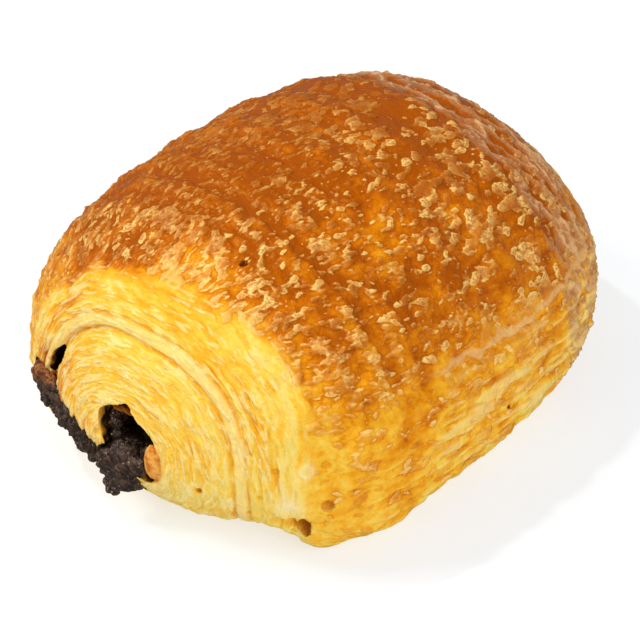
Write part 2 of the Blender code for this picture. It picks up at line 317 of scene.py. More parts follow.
def noise(points, size, seed=0):
    """Smooth noise between about -1 and 1, with hills a size apart."""
    place = points / np.asarray(size)
    cell = np.floor(place)
    f = place - cell
    u = f * f * f * (f * (f * 6.0 - 15.0) + 10.0)
    total = np.zeros(len(points))
    for corner in np.ndindex(2, 2, 2):
        step = np.array(corner, dtype=float)
        slope = SLOPES[scramble(cell + step, seed + SEED) & 255]
        weight = np.prod(np.where(step > 0.5, u, 1.0 - u), axis=-1)
        total += weight * ((f - step) * slope).sum(axis=-1)
    return total * 1.6


def layered(points, size, seed=0, layers=3, fade=0.5):
    """Noise with finer noise on it."""
    total = np.zeros(len(points))
    for layer in range(layers):
        total += fade**layer * noise(points, np.asarray(size) / 2.03**layer, seed + 31 * layer)
    return total


def cells(points, size, seed=0):
    """Distances to the two nearest of scattered seeds, as shares of size, and the nearest one's draw."""
    place = points / np.asarray(size)
    cell = np.floor(place)
    first = np.full(len(points), 9.0)
    second = np.full(len(points), 9.0)
    draw = np.zeros(len(points))
    for offset in np.ndindex(3, 3, 3):
        there = cell + np.array(offset) - 1.0
        h = scramble(there, seed + SEED)
        spot = np.stack([h & 1023, (h >> 10) & 1023, (h >> 20) & 1023], axis=-1) / 1023.0
        away = np.linalg.norm(there + spot - place, axis=-1)
        closer = away < first
        second = np.where(closer, first, np.minimum(second, away))
        draw = np.where(closer, (h % 977) / 977.0, draw)
        first = np.where(closer, away, first)
    return first, second, draw


# The form of the dough


def smooth_body(turn, slant):
    """Points of the body without relief. turn goes round X, slant from the near end to the far one."""
    upper = np.sin(turn) >= 0.0
    section = np.where(upper, SECTION_TOP, SECTION_BASE)
    across = signed_power(np.cos(turn), 2.0 / section)
    rise = signed_power(np.sin(turn), 2.0 / section)
    side = np.cos(turn) ** 2
    near_middle = np.where(upper, NEAR_TOP, NEAR_BASE)
    far_middle = np.where(upper, FAR_TOP, FAR_BASE)
    near = near_middle + (NEAR_SIDE - near_middle) * side
    far = far_middle + (FAR_SIDE - far_middle) * side
    power = np.where(slant < 0.0, near, far)
    reach = np.abs(np.cos(slant)) ** (2.0 / power)
    length = np.where(slant < 0.0, NEAR_LENGTH, FAR_LENGTH)
    x = length * signed_power(np.sin(slant), 2.0 / power)
    y = reach * 0.5 * WIDTH * across
    z = BELLY_Z + reach * np.where(upper, HEIGHT - BELLY_Z, BELLY_Z) * rise
    near_share = np.clip(-x / NEAR_LENGTH, 0.0, 1.0) ** 2
    far_share = np.clip(x / FAR_LENGTH, 0.0, 1.0) ** 2
    low = np.clip(1.0 - z / UNDERCUT_HEIGHT, 0.0, 1.0) ** 2
    bow = NEAR_BOW * ((y - NEAR_BOW_Y) / (0.5 * WIDTH)) ** 2
    x = x + near_share * (NEAR_UNDERCUT * low + bow) + far_share * FAR_SKEW * y
    return np.stack([x + SECTION_X, y, z], axis=-1)


def even_turns(count):
    """Angles round the widest section at even distances along its outline."""
    dense = np.linspace(0.0, 2.0 * math.pi, 8001)
    outline = smooth_body(dense, np.zeros_like(dense))
    steps = np.linalg.norm(np.diff(outline, axis=0), axis=1)
    steps = np.where(outline[1:, 2] < 0.0012, steps * BASE_THINNING, steps)
    travelled = np.concatenate([[0.0], np.cumsum(steps)])
    wanted = np.linspace(0.0, travelled[-1], count, endpoint=False)
    return np.interp(wanted, travelled, dense)


def body_grid():
    """Rings of points from the near end to the far end, evenly spaced along each meridian."""
    turns = even_turns(AROUND)
    slants = np.linspace(-0.5 * math.pi, 0.5 * math.pi, 4001)
    rings = np.empty((NEAR_RINGS + BODY_RINGS, AROUND, 3))
    for place, turn in enumerate(turns):
        line = smooth_body(np.full_like(slants, turn), slants)
        steps = np.linalg.norm(np.diff(line, axis=0), axis=1)
        travelled = np.concatenate([[0.0], np.cumsum(steps)])
        waist = np.interp(-0.25 * math.pi, slants, travelled)
        near = np.linspace(0.0, waist, NEAR_RINGS + 1)[1:]
        rest = np.linspace(waist, travelled[-1], BODY_RINGS + 2)[1:-1]
        wanted = np.concatenate([near, rest])
        for axis in range(3):
            rings[:, place, axis] = np.interp(wanted, travelled, line[:, axis])
    ends = smooth_body(np.zeros(2), np.array([-0.5 * math.pi, 0.5 * math.pi]))
    return rings, ends


def grid_normals(rings):
    """Outward normals of a grid of rings."""
    round_way = np.roll(rings, -1, axis=1) - np.roll(rings, 1, axis=1)
    long_way = np.gradient(rings, axis=0)
    normals = np.cross(round_way, long_way)
    normals /= np.linalg.norm(normals, axis=-1, keepdims=True)
    outward = rings - np.array([0.0, 0.0, BELLY_Z])
    sign = np.sign((normals * outward).sum(axis=-1, keepdims=True).mean())
    return normals * sign


def ring_share(points):
    """How far a point lies from the eye of the roll, as a share of the rim ring."""
    across = np.abs(points[..., 1] - EYE_Y) / RIM_HALF_WIDTH
    up = np.abs(points[..., 2] - EYE_Z) / RIM_HEIGHT
    return (across**RIM_POWER + up**RIM_POWER) ** (1.0 / RIM_POWER)


def pillow(share, low, high):
    """A rounded swelling between two shares of the rim ring."""
    t = np.clip((share - low) / (high - low), 0.0, 1.0)
    return np.sin(math.pi * t)


def end_relief(points):
    """The wraps of the dough that show at each end of the roll."""
    share = ring_share(points)
    open_side = ease((points[..., 1] - GROOVE_FADE_Y) / RIM_HALF_WIDTH)
    relief = WRAP_BULGE * pillow(share, LOBE_EDGE, CRUST_EDGE)
    relief += LOBE_BULGE * pillow(share, -LOBE_EDGE, LOBE_EDGE)
    relief -= GROOVE_DEPTH * open_side * hill(share, LOBE_EDGE, GROOVE_WIDTH)
    relief += RIM_RIDGE * hill(share, CRUST_EDGE, GROOVE_WIDTH)
    near = ease((NEAR_FACE_X - points[..., 0]) / FACE_FADE)
    far = ease((points[..., 0] - FAR_FACE_X) / FACE_FADE)
    return relief * (near + far)


def smooth_bands(places):
    """1 on the smooth bands that ring the roll, 0 on the flaky ones between them."""
    x, y, z = places.T
    turned = x + 0.0011 * noise(places, 0.01, 61) + 0.0004 * noise(places, 0.004, 62) + 0.03 * (y + 0.005)
    wave = 0.5 + 0.5 * np.cos(2.0 * math.pi * (turned - BAND_X) / BAND_PITCH)
    return ease((wave - 0.3) / 0.45) * ease((0.002 - x) / 0.018) * ease((z - 0.022) / 0.015)


def crust_relief(points):
    """Ripples that ring the roll and creases along its -Y side."""
    x, y, z = points[..., 0], points[..., 1], points[..., 2]
    middle = ease((x - NEAR_FACE_X) / FACE_FADE) * ease((FAR_FACE_X + FACE_FADE - x) / FACE_FADE)
    crown = ease((z - 0.02) / 0.02)
    phase = 2.0 * math.pi * (x + 0.08 * y) / RIPPLE_PITCH
    relief = RIPPLE_HEIGHT * middle * crown * np.cos(phase)
    front = ease((-y - 0.03) / 0.008)
    for near_z, far_z in CREASES:
        line = near_z + (far_z - near_z) * ease((x + 0.025) / 0.055)
        relief -= CREASE_DEPTH * front * middle * hill(z, line, CREASE_WIDTH)
    return relief


def lump_relief(points):
    """Single swellings and hollows."""
    return sum(height * blob(points, centre, radius) for *centre, radius, height in LUMPS)


# Meshes


def add_object(name, points, faces):
    """A mesh object with smooth shading."""
    mesh = bpy.data.meshes.new(name)
    mesh.from_pydata(np.asarray(points).tolist(), [], faces)
    mesh.update()
    mesh.shade_smooth()
    thing = bpy.data.objects.new(name, mesh)
    bpy.context.scene.collection.objects.link(thing)
    return thing


def grid_faces(count, around):
    """Quads between rings, and fans to a first and a last point."""
    row = np.arange(count - 1)[:, None] * around
    place = np.arange(around)[None, :]
    following = (place + 1) % around
    quads = np.stack(
        [row + place, row + following, row + around + following, row + around + place], axis=-1
    ).reshape(-1, 4)
    start = count * around
    top = (count - 1) * around
    fans = [(start, (k + 1) % around, k) for k in range(around)]
    fans += [(start + 1, top + k, top + (k + 1) % around) for k in range(around)]
    return quads.tolist() + fans


def numbers(items, field, width=1, kind=np.int32):
    """One field of all the items of a mesh."""
    flat = np.empty(width * len(items), dtype=kind)
    items.foreach_get(field, flat)
    return flat


def point_places(mesh):
    """The places of a mesh's points."""
    return numbers(mesh.vertices, "co", 3, np.float32).reshape(-1, 3).astype(float)


def point_normals(mesh):
    """The smooth normals of a mesh's points."""
    return numbers(mesh.vertex_normals, "vector", 3, np.float32).reshape(-1, 3).astype(float)


def turned_out(thing):
    """Turns an object's faces out if they point in."""
    mesh = thing.data
    mesh.calc_loop_triangles()
    corners = numbers(mesh.loop_triangles, "vertices", 3)
    a, b, c = point_places(mesh)[corners.reshape(-1, 3)].transpose(1, 0, 2)
    if (a * np.cross(b, c)).sum() < 0.0:
        mesh.flip_normals()
    return thing


def loft(name, rings, first=0.0, last=0.0):
    """A closed skin over rings of points. It ends in the middles of its end rings, or off these."""
    count, around = rings.shape[:2]
    ends = [rings[0].mean(axis=0) + first, rings[-1].mean(axis=0) + last]
    points = np.concatenate([rings.reshape(-1, 3), ends])
    return turned_out(add_object(name, points, grid_faces(count, around)))


def move_points(mesh, places):
    """Puts a mesh's points at new places."""
    mesh.vertices.foreach_set("co", places.astype(np.float32).ravel())
    mesh.update()


def store(mesh, name, values):
    """Keeps a number for each point, for the materials."""
    layer = mesh.attributes.new(name, "FLOAT", "POINT")
    layer.data.foreach_set("value", np.asarray(values, dtype=np.float32))


def store_places(mesh, name, values):
    """Keeps a place for each point, for the materials."""
    layer = mesh.attributes.new(name, "FLOAT_VECTOR", "POINT")
    layer.data.foreach_set("vector", np.asarray(values, dtype=np.float32).ravel())


def bake_modifiers(thing):
    """Replaces an object's mesh by what its modifiers make of it."""
    graph = bpy.context.evaluated_depsgraph_get()
    made = bpy.data.meshes.new_from_object(thing.evaluated_get(graph))
    old = thing.data
    thing.modifiers.clear()
    thing.data = made
    bpy.data.meshes.remove(old)


# Chocolate


def station(stations, x):
    """The section of a stick at x: y, z, half width and half height."""
    places = [s[0] for s in stations]
    index = int(np.clip(np.searchsorted(places, x) - 1, 0, len(places) - 2))
    low, high = stations[index], stations[index + 1]
    share = float(ease((x - low[0]) / (high[0] - low[0])))
    return [low[k] + (high[k] - low[k]) * share for k in range(1, 5)]


def stick_ring(x, section, grow, scale):
    """One uneven ring of a stick, in the plane at x."""
    y, z, half_width, half_height = section
    angle = circle(STICK_AROUND)
    lumps = 1.0 + 0.05 * np.sin(3.0 * angle + 420.0 * x) + 0.04 * np.sin(2.0 * angle - 730.0 * x)
    across = signed_power(np.cos(angle), 2.0 / STICK_POWER)
    rise = signed_power(np.sin(angle), 2.0 / STICK_POWER)
    ring = np.empty((STICK_AROUND, 3))
    ring[:, 0] = x
    ring[:, 1] = y + (half_width + grow) * scale * lumps * across
    ring[:, 2] = z + (half_height + grow) * scale * lumps * rise
    return ring


def stick_places(stations):
    """The x of each ring of a stick, closer together at its ends."""
    first, last = stations[0][0], stations[-1][0]
    inner = np.linspace(first + STICK_ROUNDING, last - STICK_ROUNDING, round((last - first) / STICK_STEP))
    ends = STICK_ROUNDING * np.array([0.0, 0.04, 0.12, 0.25, 0.42, 0.62, 0.82])
    return np.concatenate([first + ends, inner, last - ends[::-1]])


def stick_rings(stations):
    """The rings of a stick, rounded off at both ends."""
    first, last = stations[0][0], stations[-1][0]
    rings = []
    for x in stick_places(stations):
        depth = min(x - first, last - x) / STICK_ROUNDING
        bulge = math.sqrt(1.0 - (1.0 - min(depth, 1.0)) ** 2)
        scale = STICK_TIP + (1.0 - STICK_TIP) * bulge
        rings.append(stick_ring(x, station(stations, x), 0.0, scale))
    return np.array(rings)


def tunnel(name, stations):
    """The space that a stick needs in the dough, open at both ends."""
    places = np.concatenate([[MOUTH_X], stick_places(stations), [-MOUTH_X]])
    inside = np.clip(places, stations[0][0], stations[-1][0])
    rings = np.array([stick_ring(x, station(stations, x), CLEARANCE, 1.0) for x in inside])
    rings[:, :, 0] = places[:, None]
    return loft(name, rings)


def leak_rings(grow):
    """Rings of the run of chocolate along the lower edge of the near end."""
    route = np.array(LEAK)
    knots = np.linspace(0.0, 1.0, len(route))
    share = np.linspace(0.0, 1.0, LEAK_STEPS)
    centres = np.stack([np.interp(share, knots, route[:, axis]) for axis in range(3)], axis=1)
    angle = circle(LEAK_AROUND)
    rings = []
    for place, centre in enumerate(centres):
        step = place * 17.0 / (LEAK_STEPS - 1.0)
        swell = 1.0 + 0.14 * math.sin(2.3 * step) + 0.08 * math.sin(4.1 * step)
        ring = np.tile(centre, (LEAK_AROUND, 1))
        ring[:, 0] += (LEAK_HALF_WIDTH * swell + grow) * np.cos(angle)
        ring[:, 2] += (LEAK_HALF_HEIGHT * swell + grow) * np.sin(angle)
        rings.append(ring)
    return np.array(rings)


def make_leak(name, grow):
    """The run of chocolate, or the channel that it needs in the dough."""
    along = np.array([0.0, grow, 0.0])
    return loft(name, leak_rings(grow), along, -along)


def joined(name, things):
    """One object made of several."""
    points = []
    faces = []
    for thing in things:
        start = len(points)
        points.extend(point_places(thing.data).tolist())
        faces.extend(tuple(start + k for k in face.vertices) for face in thing.data.polygons)
        bpy.data.objects.remove(thing)
    return add_object(name, points, faces)


def lump(centre, radius, stretch):
    """A rough round lump, to be fused with others."""
    angle = circle(LUMP_AROUND)
    rings = []
    for row in range(1, LUMP_ROWS):
        lift = math.pi * row / LUMP_ROWS - 0.5 * math.pi
        flat = math.cos(lift)
        up = np.full(LUMP_AROUND, math.sin(lift))
        rings.append(np.stack([flat * np.cos(angle), flat * np.sin(angle), up], axis=-1))
    rings = np.array(rings) * radius * np.array(stretch) + np.array(centre)
    pole = np.array([0.0, 0.0, radius * stretch[2]])
    points = np.concatenate([rings.reshape(-1, 3), [np.array(centre) - pole, np.array(centre) + pole]])
    return turned_out(add_object("lump", points, grid_faces(LUMP_ROWS - 1, LUMP_AROUND)))


def lumps(rows, stretch=()):
    """Lumps from rows of place, radius and stretch, or of place and radius with one stretch for all."""
    return [lump(row[:3], row[3], row[4:] or stretch) for row in rows]


def roughen_chocolate(thing, front_x):
    """Fuses a chocolate piece into one skin and breaks it up into crumbs and blisters."""
    fuse = thing.modifiers.new("skin", "REMESH")
    fuse.mode = "VOXEL"
    fuse.voxel_size = CHOCOLATE_VOXEL
    bake_modifiers(thing)
    mesh = thing.data
    places = point_places(mesh)
    normals = point_normals(mesh)
    shown = ease((front_x + 0.012 - places[:, 0]) / 0.008)
    shown = np.maximum(shown, ease((places[:, 0] - 0.046) / 0.004))
    warp = np.stack([noise(places, 0.0011, 90 + k) for k in range(3)], axis=-1)
    near, next_near, draw = cells(places + 0.0004 * warp, (0.0016, 0.0024, 0.0016), 5)
    chunk = ease((next_near - near) / 0.3)
    fine_near, fine_next, fine_draw = cells(places + 0.0002 * warp, 0.0007, 6)
    lumpy = places[:, 1] > 0.006
    height = mix(0.00012, 0.00034, lumpy) * (chunk * (0.3 + draw) - 0.55)
    height += 0.00008 * (ease((fine_next - fine_near) / 0.4) * (0.4 + fine_draw) - 0.4)
    height += 0.00045 * layered(places, 0.0036, 8, 2)
    height += 0.0003 * (0.35 - np.abs(noise(places + 0.0006 * warp, (0.0014, 0.0014, 0.0026), 19)))
    height = mix(0.25 * height, height, shown)
    move_points(mesh, places + normals * height[:, None])
    store(mesh, "crumb", np.clip(0.5 + 0.5 * (chunk * draw) + 0.3 * noise(places, 0.004, 9), 0.0, 1.0))
    head = distance(places, MILKY_PLACE, (0.004, 0.0042, 0.0026))
    store(mesh, "milky", ease((1.25 - head + 0.3 * noise(places, 0.0015, 33)) / 0.5))
    store(mesh, "gloss", ease((places[:, 2] - 0.019) / 0.002) * (places[:, 1] < 0.008))
    mesh.shade_smooth()
    return thing


def leak_place(share):
    """A place along the run of chocolate."""
    return np.array([np.interp(share * (len(LEAK) - 1.0), range(len(LEAK)), axis) for axis in zip(*LEAK)])


def make_chocolate():
    """The two sticks, the left one with the chocolate that ran out of it."""
    right = [loft("bar", stick_rings(RIGHT_STICK))] + lumps(TIP_LUMPS)
    right += lumps(HOLLOW_LUMPS, (0.9, 1.0, 0.9)) + lumps(SPIKES, (0.9, 0.8, 0.8))
    left = [loft("bar", stick_rings(LEFT_STICK)), make_leak("run", 0.0)]
    rng = np.random.default_rng(SEED)
    for share in np.linspace(0.03, 0.97, 26):
        spot = leak_place(share) + rng.normal(0.0, (0.0003, 0.0004, 0.0007))
        spot[2] -= 0.0008 * rng.random()
        left.append(lump(spot - np.array([0.0007, 0.0, 0.0]), rng.uniform(0.0008, 0.0015), (1.0, 1.0, 0.9)))
    for share in np.linspace(0.02, 0.94, 30):
        spot = leak_place(share) + rng.normal(0.0, (0.0002, 0.0003, 0.0004)) - np.array([0.0012, 0.0, 0.0027])
        left.append(lump(spot, rng.uniform(0.0007, 0.0013), (1.1, 1.0, 0.8)))
    left.append(lump(MILKY_HEAD, 0.0017, (0.9, 1.0, 1.2)))
    left += lumps(HEAD_LUMPS, (0.8, 1.0, 1.0))
    chocolate_right = roughen_chocolate(joined("chocolate_right", right), RIGHT_STICK[0][0])
    chocolate_left = roughen_chocolate(joined("chocolate_left", left), LEFT_STICK[0][0])
    return chocolate_left, chocolate_right


# Openings of the dough


def mouth(name, opening):
    """An opening in the near end that narrows inwards."""
    y, z, half_width, half_height, lean, inner_x = opening
    angle = circle(MOUTH_AROUND)
    rings = []
    for share in np.linspace(0.0, 1.0, MOUTH_RINGS):
        scale = 1.0 - (1.0 - MOUTH_NARROWING) * share**2
        scale = scale * (1.0 + 0.05 * np.sin(3.0 * angle + 0.9) + 0.04 * np.sin(5.0 * angle - 0.6))
        up = half_height * scale * np.sin(angle)
        ring = np.empty((MOUTH_AROUND, 3))
        ring[:, 0] = MOUTH_X + (inner_x - MOUTH_X) * share
        shoulder = 1.0 - SHOULDER * ease((up - 0.004) / 0.0025) * (np.cos(angle) < 0.0)
        ring[:, 1] = y + half_width * scale * shoulder * np.cos(angle) + lean * up
        ring[:, 2] = z + up
        rings.append(ring)
    return loft(name, np.array(rings))


def egg(name, place):
    """A small egg-shaped hole or bit of dough."""
    thing = lump(place[0], 1.0, place[1])
    thing.name = name
    return thing


def carve(dough, cutters, additions):
    """Takes cutters out of the dough, marks the faces that they leave, and fuses additions with it."""
    skin = bpy.data.materials.new("skin")
    walls = bpy.data.materials.new("walls")
    dough.data.materials.append(skin)
    dough.data.materials.append(walls)
    for things, material, operation in ((cutters, walls, "DIFFERENCE"), (additions, skin, "UNION")):
        for thing in things:
            thing.data.materials.append(material)
            change = dough.modifiers.new("change", "BOOLEAN")
            change.operation = operation
            change.solver = "MANIFOLD"
            change.object = thing
    bake_modifiers(dough)
    for helper in cutters + additions:
        bpy.data.objects.remove(helper)


def wall_points(mesh):
    """True for the points that lie on the walls of the openings only."""
    walls = [slot for slot, made in enumerate(mesh.materials) if made and made.name.startswith("walls")]
    is_wall = np.isin(numbers(mesh.polygons, "material_index"), walls)
    per_corner = np.repeat(is_wall, numbers(mesh.polygons, "loop_total"))
    skin = np.zeros(len(mesh.vertices), dtype=bool)
    skin[numbers(mesh.loops, "vertex_index")[~per_corner]] = True
    return ~skin


# The surface of the dough


def flake_shape(u, v, rng):
    """Depth inside an angular chip, as a share of its half width: 1 in the middle, 0 at its edge."""
    sides = int(rng.integers(4, 7))
    turns = (np.arange(sides) + rng.uniform(-0.28, 0.28, sides)) * 2.0 * math.pi / sides
    turns += rng.uniform(0.0, 2.0 * math.pi)
    reach = rng.uniform(0.7, 1.12, sides)
    inside = np.full(len(u), 9.0)
    for turn, limit in zip(turns, reach):
        inside = np.minimum(inside, limit - u * math.cos(turn) - v * math.sin(turn))
    return inside


def point_tree(places, chosen):
    """A search tree over the chosen points."""
    tree = kdtree.KDTree(int(chosen.sum()))
    for index in np.flatnonzero(chosen):
        tree.insert(places[index], int(index))
    tree.balance()
    return tree


def scatter_flakes(at, room, lengthwise):
    """Raised chips of the top layer: height, signed depth inside one, and its tone, painted lighter on one
    side as painted light.
    """
    places, normals, low_side = at.places, at.normals, at.low_side
    rng = np.random.default_rng(SEED)
    tree = point_tree(places, np.full(len(places), True))
    height = np.zeros(len(places))
    depth = np.full(len(places), NO_FLAKE)
    tone = np.zeros(len(places))
    rag = np.stack([layered(places, 0.001, 40 + 7 * k, 2) for k in range(2)], axis=-1)
    crinkle = noise(places, (0.0013, 0.0005, 0.0005), 60)
    chosen = rng.choice(len(places), size=FLAKES, p=room / room.sum())
    for index in chosen:
        place, normal = places[index], normals[index]
        large = rng.random() < 0.13
        half_length = rng.uniform(0.00042, 0.00104) * (1.0 + large * rng.uniform(0.3, 0.8))
        far_half = float(ease((place[0] + 0.004) / 0.02)) * (1.0 - low_side[index])
        half_length *= 1.0 + 0.6 * low_side[index] + 0.25 * far_half
        half_width = half_length * rng.uniform(0.24, 0.66) * (1.0 - 0.3 * low_side[index] + 0.5 * far_half)
        on_end = abs(lengthwise[index, 0]) < 0.5
        if on_end:
            half_length *= 1.8
            half_width *= 0.6
        rise = rng.uniform(0.00016, 0.00034) * (1.0 + 0.5 * large)
        shade = rng.random() ** 1.5
        lean = rng.normal(0.0, 0.12 if on_end else 0.42)
        lit_side_turn = rng.uniform(-0.6, 0.6)
        along = lengthwise[index] - normal * (normal @ lengthwise[index])
        along /= np.linalg.norm(along) + 1e-9
        across = np.cross(normal, along)
        first = math.cos(lean) * along + math.sin(lean) * across
        second = math.cos(lean) * across - math.sin(lean) * along
        found = tree.find_range(place, 1.5 * half_length + 0.0008)
        near = np.array([hit[1] for hit in found])
        away = places[near] - place
        u = (away @ first) / half_length + 0.17 * rag[near, 0]
        v = (away @ second) / half_width + 0.17 * rag[near, 1]
        inside = flake_shape(u, v, rng) * half_width
        lift = rise * ease((inside + 0.00008) / FLAKE_EDGE)
        lift *= 1.0 + 0.35 * np.clip(u, -1.5, 1.5) * rng.uniform(-1.0, 1.0)
        lift *= (1.0 + 0.6 * crinkle[near]) * (0.5 if on_end else 1.0)
        better = inside > depth[near]
        # Each flake is painted lighter on one side and darker on the other: painted light.
        painted_light = u * math.sin(lit_side_turn) + v * math.cos(lit_side_turn)
        tone[near[better]] = np.clip(shade + 0.35 * painted_light, 0.0, 1.0)[better]
        depth[near] = np.maximum(depth[near], inside)
        height[near] = np.maximum(height[near], lift)
    return height, depth, tone


def survey(mesh):
    """Where each point of the dough lies: on its walls, its end faces, its underside or its crust."""
    at = SimpleNamespace(places=point_places(mesh), normals=point_normals(mesh), wall=wall_points(mesh))
    x, y, z = at.places.T
    at.wavy = partial(noise, at.places)
    at.share = ring_share(at.places)
    at.angle = np.arctan2(z - EYE_Z, y - EYE_Y)
    at.share_here = at.share + 0.014 * at.wavy(0.014, 1) + 0.006 * at.wavy(0.004, 2)
    edge = at.share_here + 0.03 * at.wavy(0.009, 10) + 0.022 * at.wavy(0.0026, 11)
    border = mix(0.985, 0.895, ease((y + 0.032) / 0.024))
    at.near_face = ease((-0.0335 - x) / 0.005) * (1.0 - ease((edge - border) / 0.07))
    at.far_face = ease((x - 0.044) / 0.005) * (1.0 - ease((edge - 0.8) / 0.1))
    at.face = np.maximum(at.near_face, at.far_face)
    at.under = ease((0.004 - z) / 0.003) * ease(-at.normals[:, 2])
    at.crust = (1.0 - at.face) * (1.0 - at.under)
    at.bent = at.places + 0.0016 * np.stack([at.wavy(0.005, 16 + 40 * k) for k in range(3)], axis=-1)
    at.off_tail = 1.0 - blob(at.places, TAIL_POCKET[0], 0.0125, 4)
    for *centre, radius, _, painted_shade in PITS:
        if painted_shade > 0.5:
            at.off_tail *= 1.0 - blob(at.places, centre, 3.0 * radius, 4)
    at.low_side = ease((0.036 - z) / 0.016) * ease((np.abs(y) - 0.02) / 0.012) * at.crust * at.off_tail
    at.glazed = ease((-0.004 - x) / 0.012) * ease((0.037 - z) / 0.008) * ease((-y - 0.02) / 0.01)
    at.far_edge = ease((x + 0.0022 * at.wavy(0.007, 32) - 0.0268) / 0.0055) * at.crust
    at.band = smooth_bands(at.places)
    return at


def end_layers(at):
    """The relief of the layers that show in the wraps, and how strongly they are streaked."""
    share = at.share_here
    ring = np.stack([share * 0.0335, 0.024 * np.cos(at.angle), 0.024 * np.sin(at.angle)], axis=-1)
    ring[:, 0] += 0.0005 * at.wavy(0.006, 5) + 0.0003 * at.wavy(0.0026, 2)
    combed = layered(ring, (0.0008, 0.0075, 0.0075), 3, 2, 0.6)
    coarse = noise(ring, (0.002, 0.015, 0.015), 4)
    fine = noise(ring, (0.00055, 0.005, 0.005), 6)
    layers = 0.55 * combed + 0.45 * coarse + 0.3 * fine
    wrap = ease((share - 0.74) / 0.03) * (1.0 - ease((share - 1.02) / 0.05))
    at.ribbon = ease((share - 0.672) / 0.012) * (1.0 - ease((share - 0.73) / 0.014))
    lobe = 1.0 - ease((share - 0.6) / 0.05)
    relief = layers * (0.00006 + 0.00026 * wrap + 0.00012 * lobe)
    relief += wrap * 0.0003 * (0.5 - np.abs(noise(ring, (0.0017, 0.012, 0.012), 7)))
    relief += 0.00025 * at.ribbon * at.near_face
    relief -= 0.00028 * hill(share, 0.662, 0.014) * at.near_face
    relief -= 0.00022 * hill(share, 0.742, 0.014) * at.near_face
    crest = hill(share + 0.016 * at.wavy(0.0024, 8), 1.0, 0.03)
    relief += crest * 0.00045 * (0.45 + noise(ring, (0.002, 0.004, 0.004), 9))
    patch = ease(0.5 + 0.9 * at.wavy(0.009, 24))
    at.streak = layers * (0.35 + 0.75 * wrap - 0.3 * at.ribbon) * (0.35 + 0.9 * patch)
    at.ring = ring
    at.relief = at.face * relief
    at.relief += at.face * 0.00022 * at.wavy(0.0038, 12)


def crust_forms(at):
    """Adds soft swellings, wrinkles along the low side, ropes round the far edge, and bands."""
    x, y, z = at.places.T
    at.swelling = at.wavy(0.0036, 14)
    at.relief += at.crust * (0.00036 * at.wavy(0.0085, 13) + 0.00036 * at.swelling - 0.0003)
    at.relief += at.crust * 0.00018 * noise(at.bent, (0.0022, 0.0014, 0.0014), 31)
    along = np.stack([x, y * 0.3, z + 0.1 * (x + 0.02)], axis=-1)
    along[:, 2] += 0.0006 * at.wavy(0.006, 26)
    at.wrinkle = layered(along, (0.009, 0.02, 0.0015), 15, 2, 0.5)
    at.relief += at.low_side * 0.0005 * at.wrinkle
    string = at.places + 0.5 * (at.bent - at.places)
    ropy = np.abs(noise(string, (0.0034, 0.013, 0.013), 17)) + 0.05 * at.wavy(0.0022, 36)
    string[:, 0] += 0.45 * z + 0.2 * y
    ropy = np.minimum(ropy, 0.04 + np.abs(noise(string, (0.004, 0.011, 0.011), 27)))
    string[:, 0] -= 0.8 * z + 0.3 * y
    at.ropy = np.minimum(ropy, 0.1 + np.abs(noise(string, (0.0044, 0.012, 0.012), 37)))
    at.relief += at.far_edge * 0.0026 * (0.14 - np.minimum(at.ropy, 0.34))
    torn_seam(at)
    at.relief += at.crust * 0.0004 * (0.4 - at.band) * ease((0.01 - x) / 0.02) * ease((z - 0.022) / 0.015)


def torn_seam(at):
    """Adds the seam along the shown long side."""
    x, y, z = at.places.T
    off = z + 0.001 * at.wavy(0.0034, 34) + 0.0004 * at.wavy(0.0012, 35)
    off = off - mix(0.0335, 0.029, ease((x + 0.025) / 0.055))
    side = ease((-y - 0.03) / 0.008) * ease((x + 0.02) / 0.02) * at.crust
    at.seam = hill(off, 0.0008, 0.0014) * side
    at.relief += side * (0.0005 * hill(off, 0.0008, 0.0011) - 0.00045 * hill(off, -0.0006, 0.0007))


def islands(at):
    """Depth inside ragged islands of skin, thickest near the shown end and on the far shoulder."""
    x, y, z = at.places.T
    patch = 0.5 + 0.8 * at.wavy(0.008, 28)
    patch += 0.3 * hill(x, -0.027, 0.01) * ease((z - 0.012) / 0.01)
    patch += 0.2 * ease((y - 0.005) / 0.015) - 0.25 * at.low_side
    patch += 0.6 * hill(x, -0.0372, 0.003) * hill(y, -0.011, 0.012) - 0.6 * at.band
    patch -= 0.5 * at.glazed + 0.45 * at.far_edge + 0.3 * ease((x - 0.008) / 0.01)
    patch = np.clip(patch, 0.0, 1.0) * at.crust * at.off_tail
    island = layered(at.bent, (0.0026, 0.0013, 0.0013), 29, 2, 0.5)
    return 0.00042 * (island - mix(0.95, 0.22, patch))


def flake_room(at):
    """How likely a flake is at each point."""
    x, y, z = at.places.T
    patchy = ease(0.55 + 1.1 * at.wavy(0.01, 18)) * (1.0 - 0.85 * at.band)
    border = 1.0 + 1.3 * hill(x, -0.033, 0.006)
    room = at.crust * (0.28 + 0.72 * patchy) * (1.0 - 0.55 * at.low_side) * border
    room = room * (~at.wall) * ease((z - 0.005) / 0.006)
    room *= 1.0 - 0.55 * ease((x + 0.004) / 0.012) * ease((z - 0.03) / 0.01)
    more = 1.2 * ease((-y - 0.012) / 0.01) * ease((x - 0.006) / 0.01) * ease((z - 0.036) / 0.008)
    room *= at.off_tail * (1.0 + more)
    room *= (1.0 - 0.75 * at.glazed) * (1.0 - 0.6 * at.far_edge)
    on_ends = (at.near_face * ease((0.96 - at.share) / 0.04) + at.far_face) * at.off_tail
    return room + 0.16 * on_ends * (at.share > 0.15) * (~at.wall) * ease((z - 0.003) / 0.004)


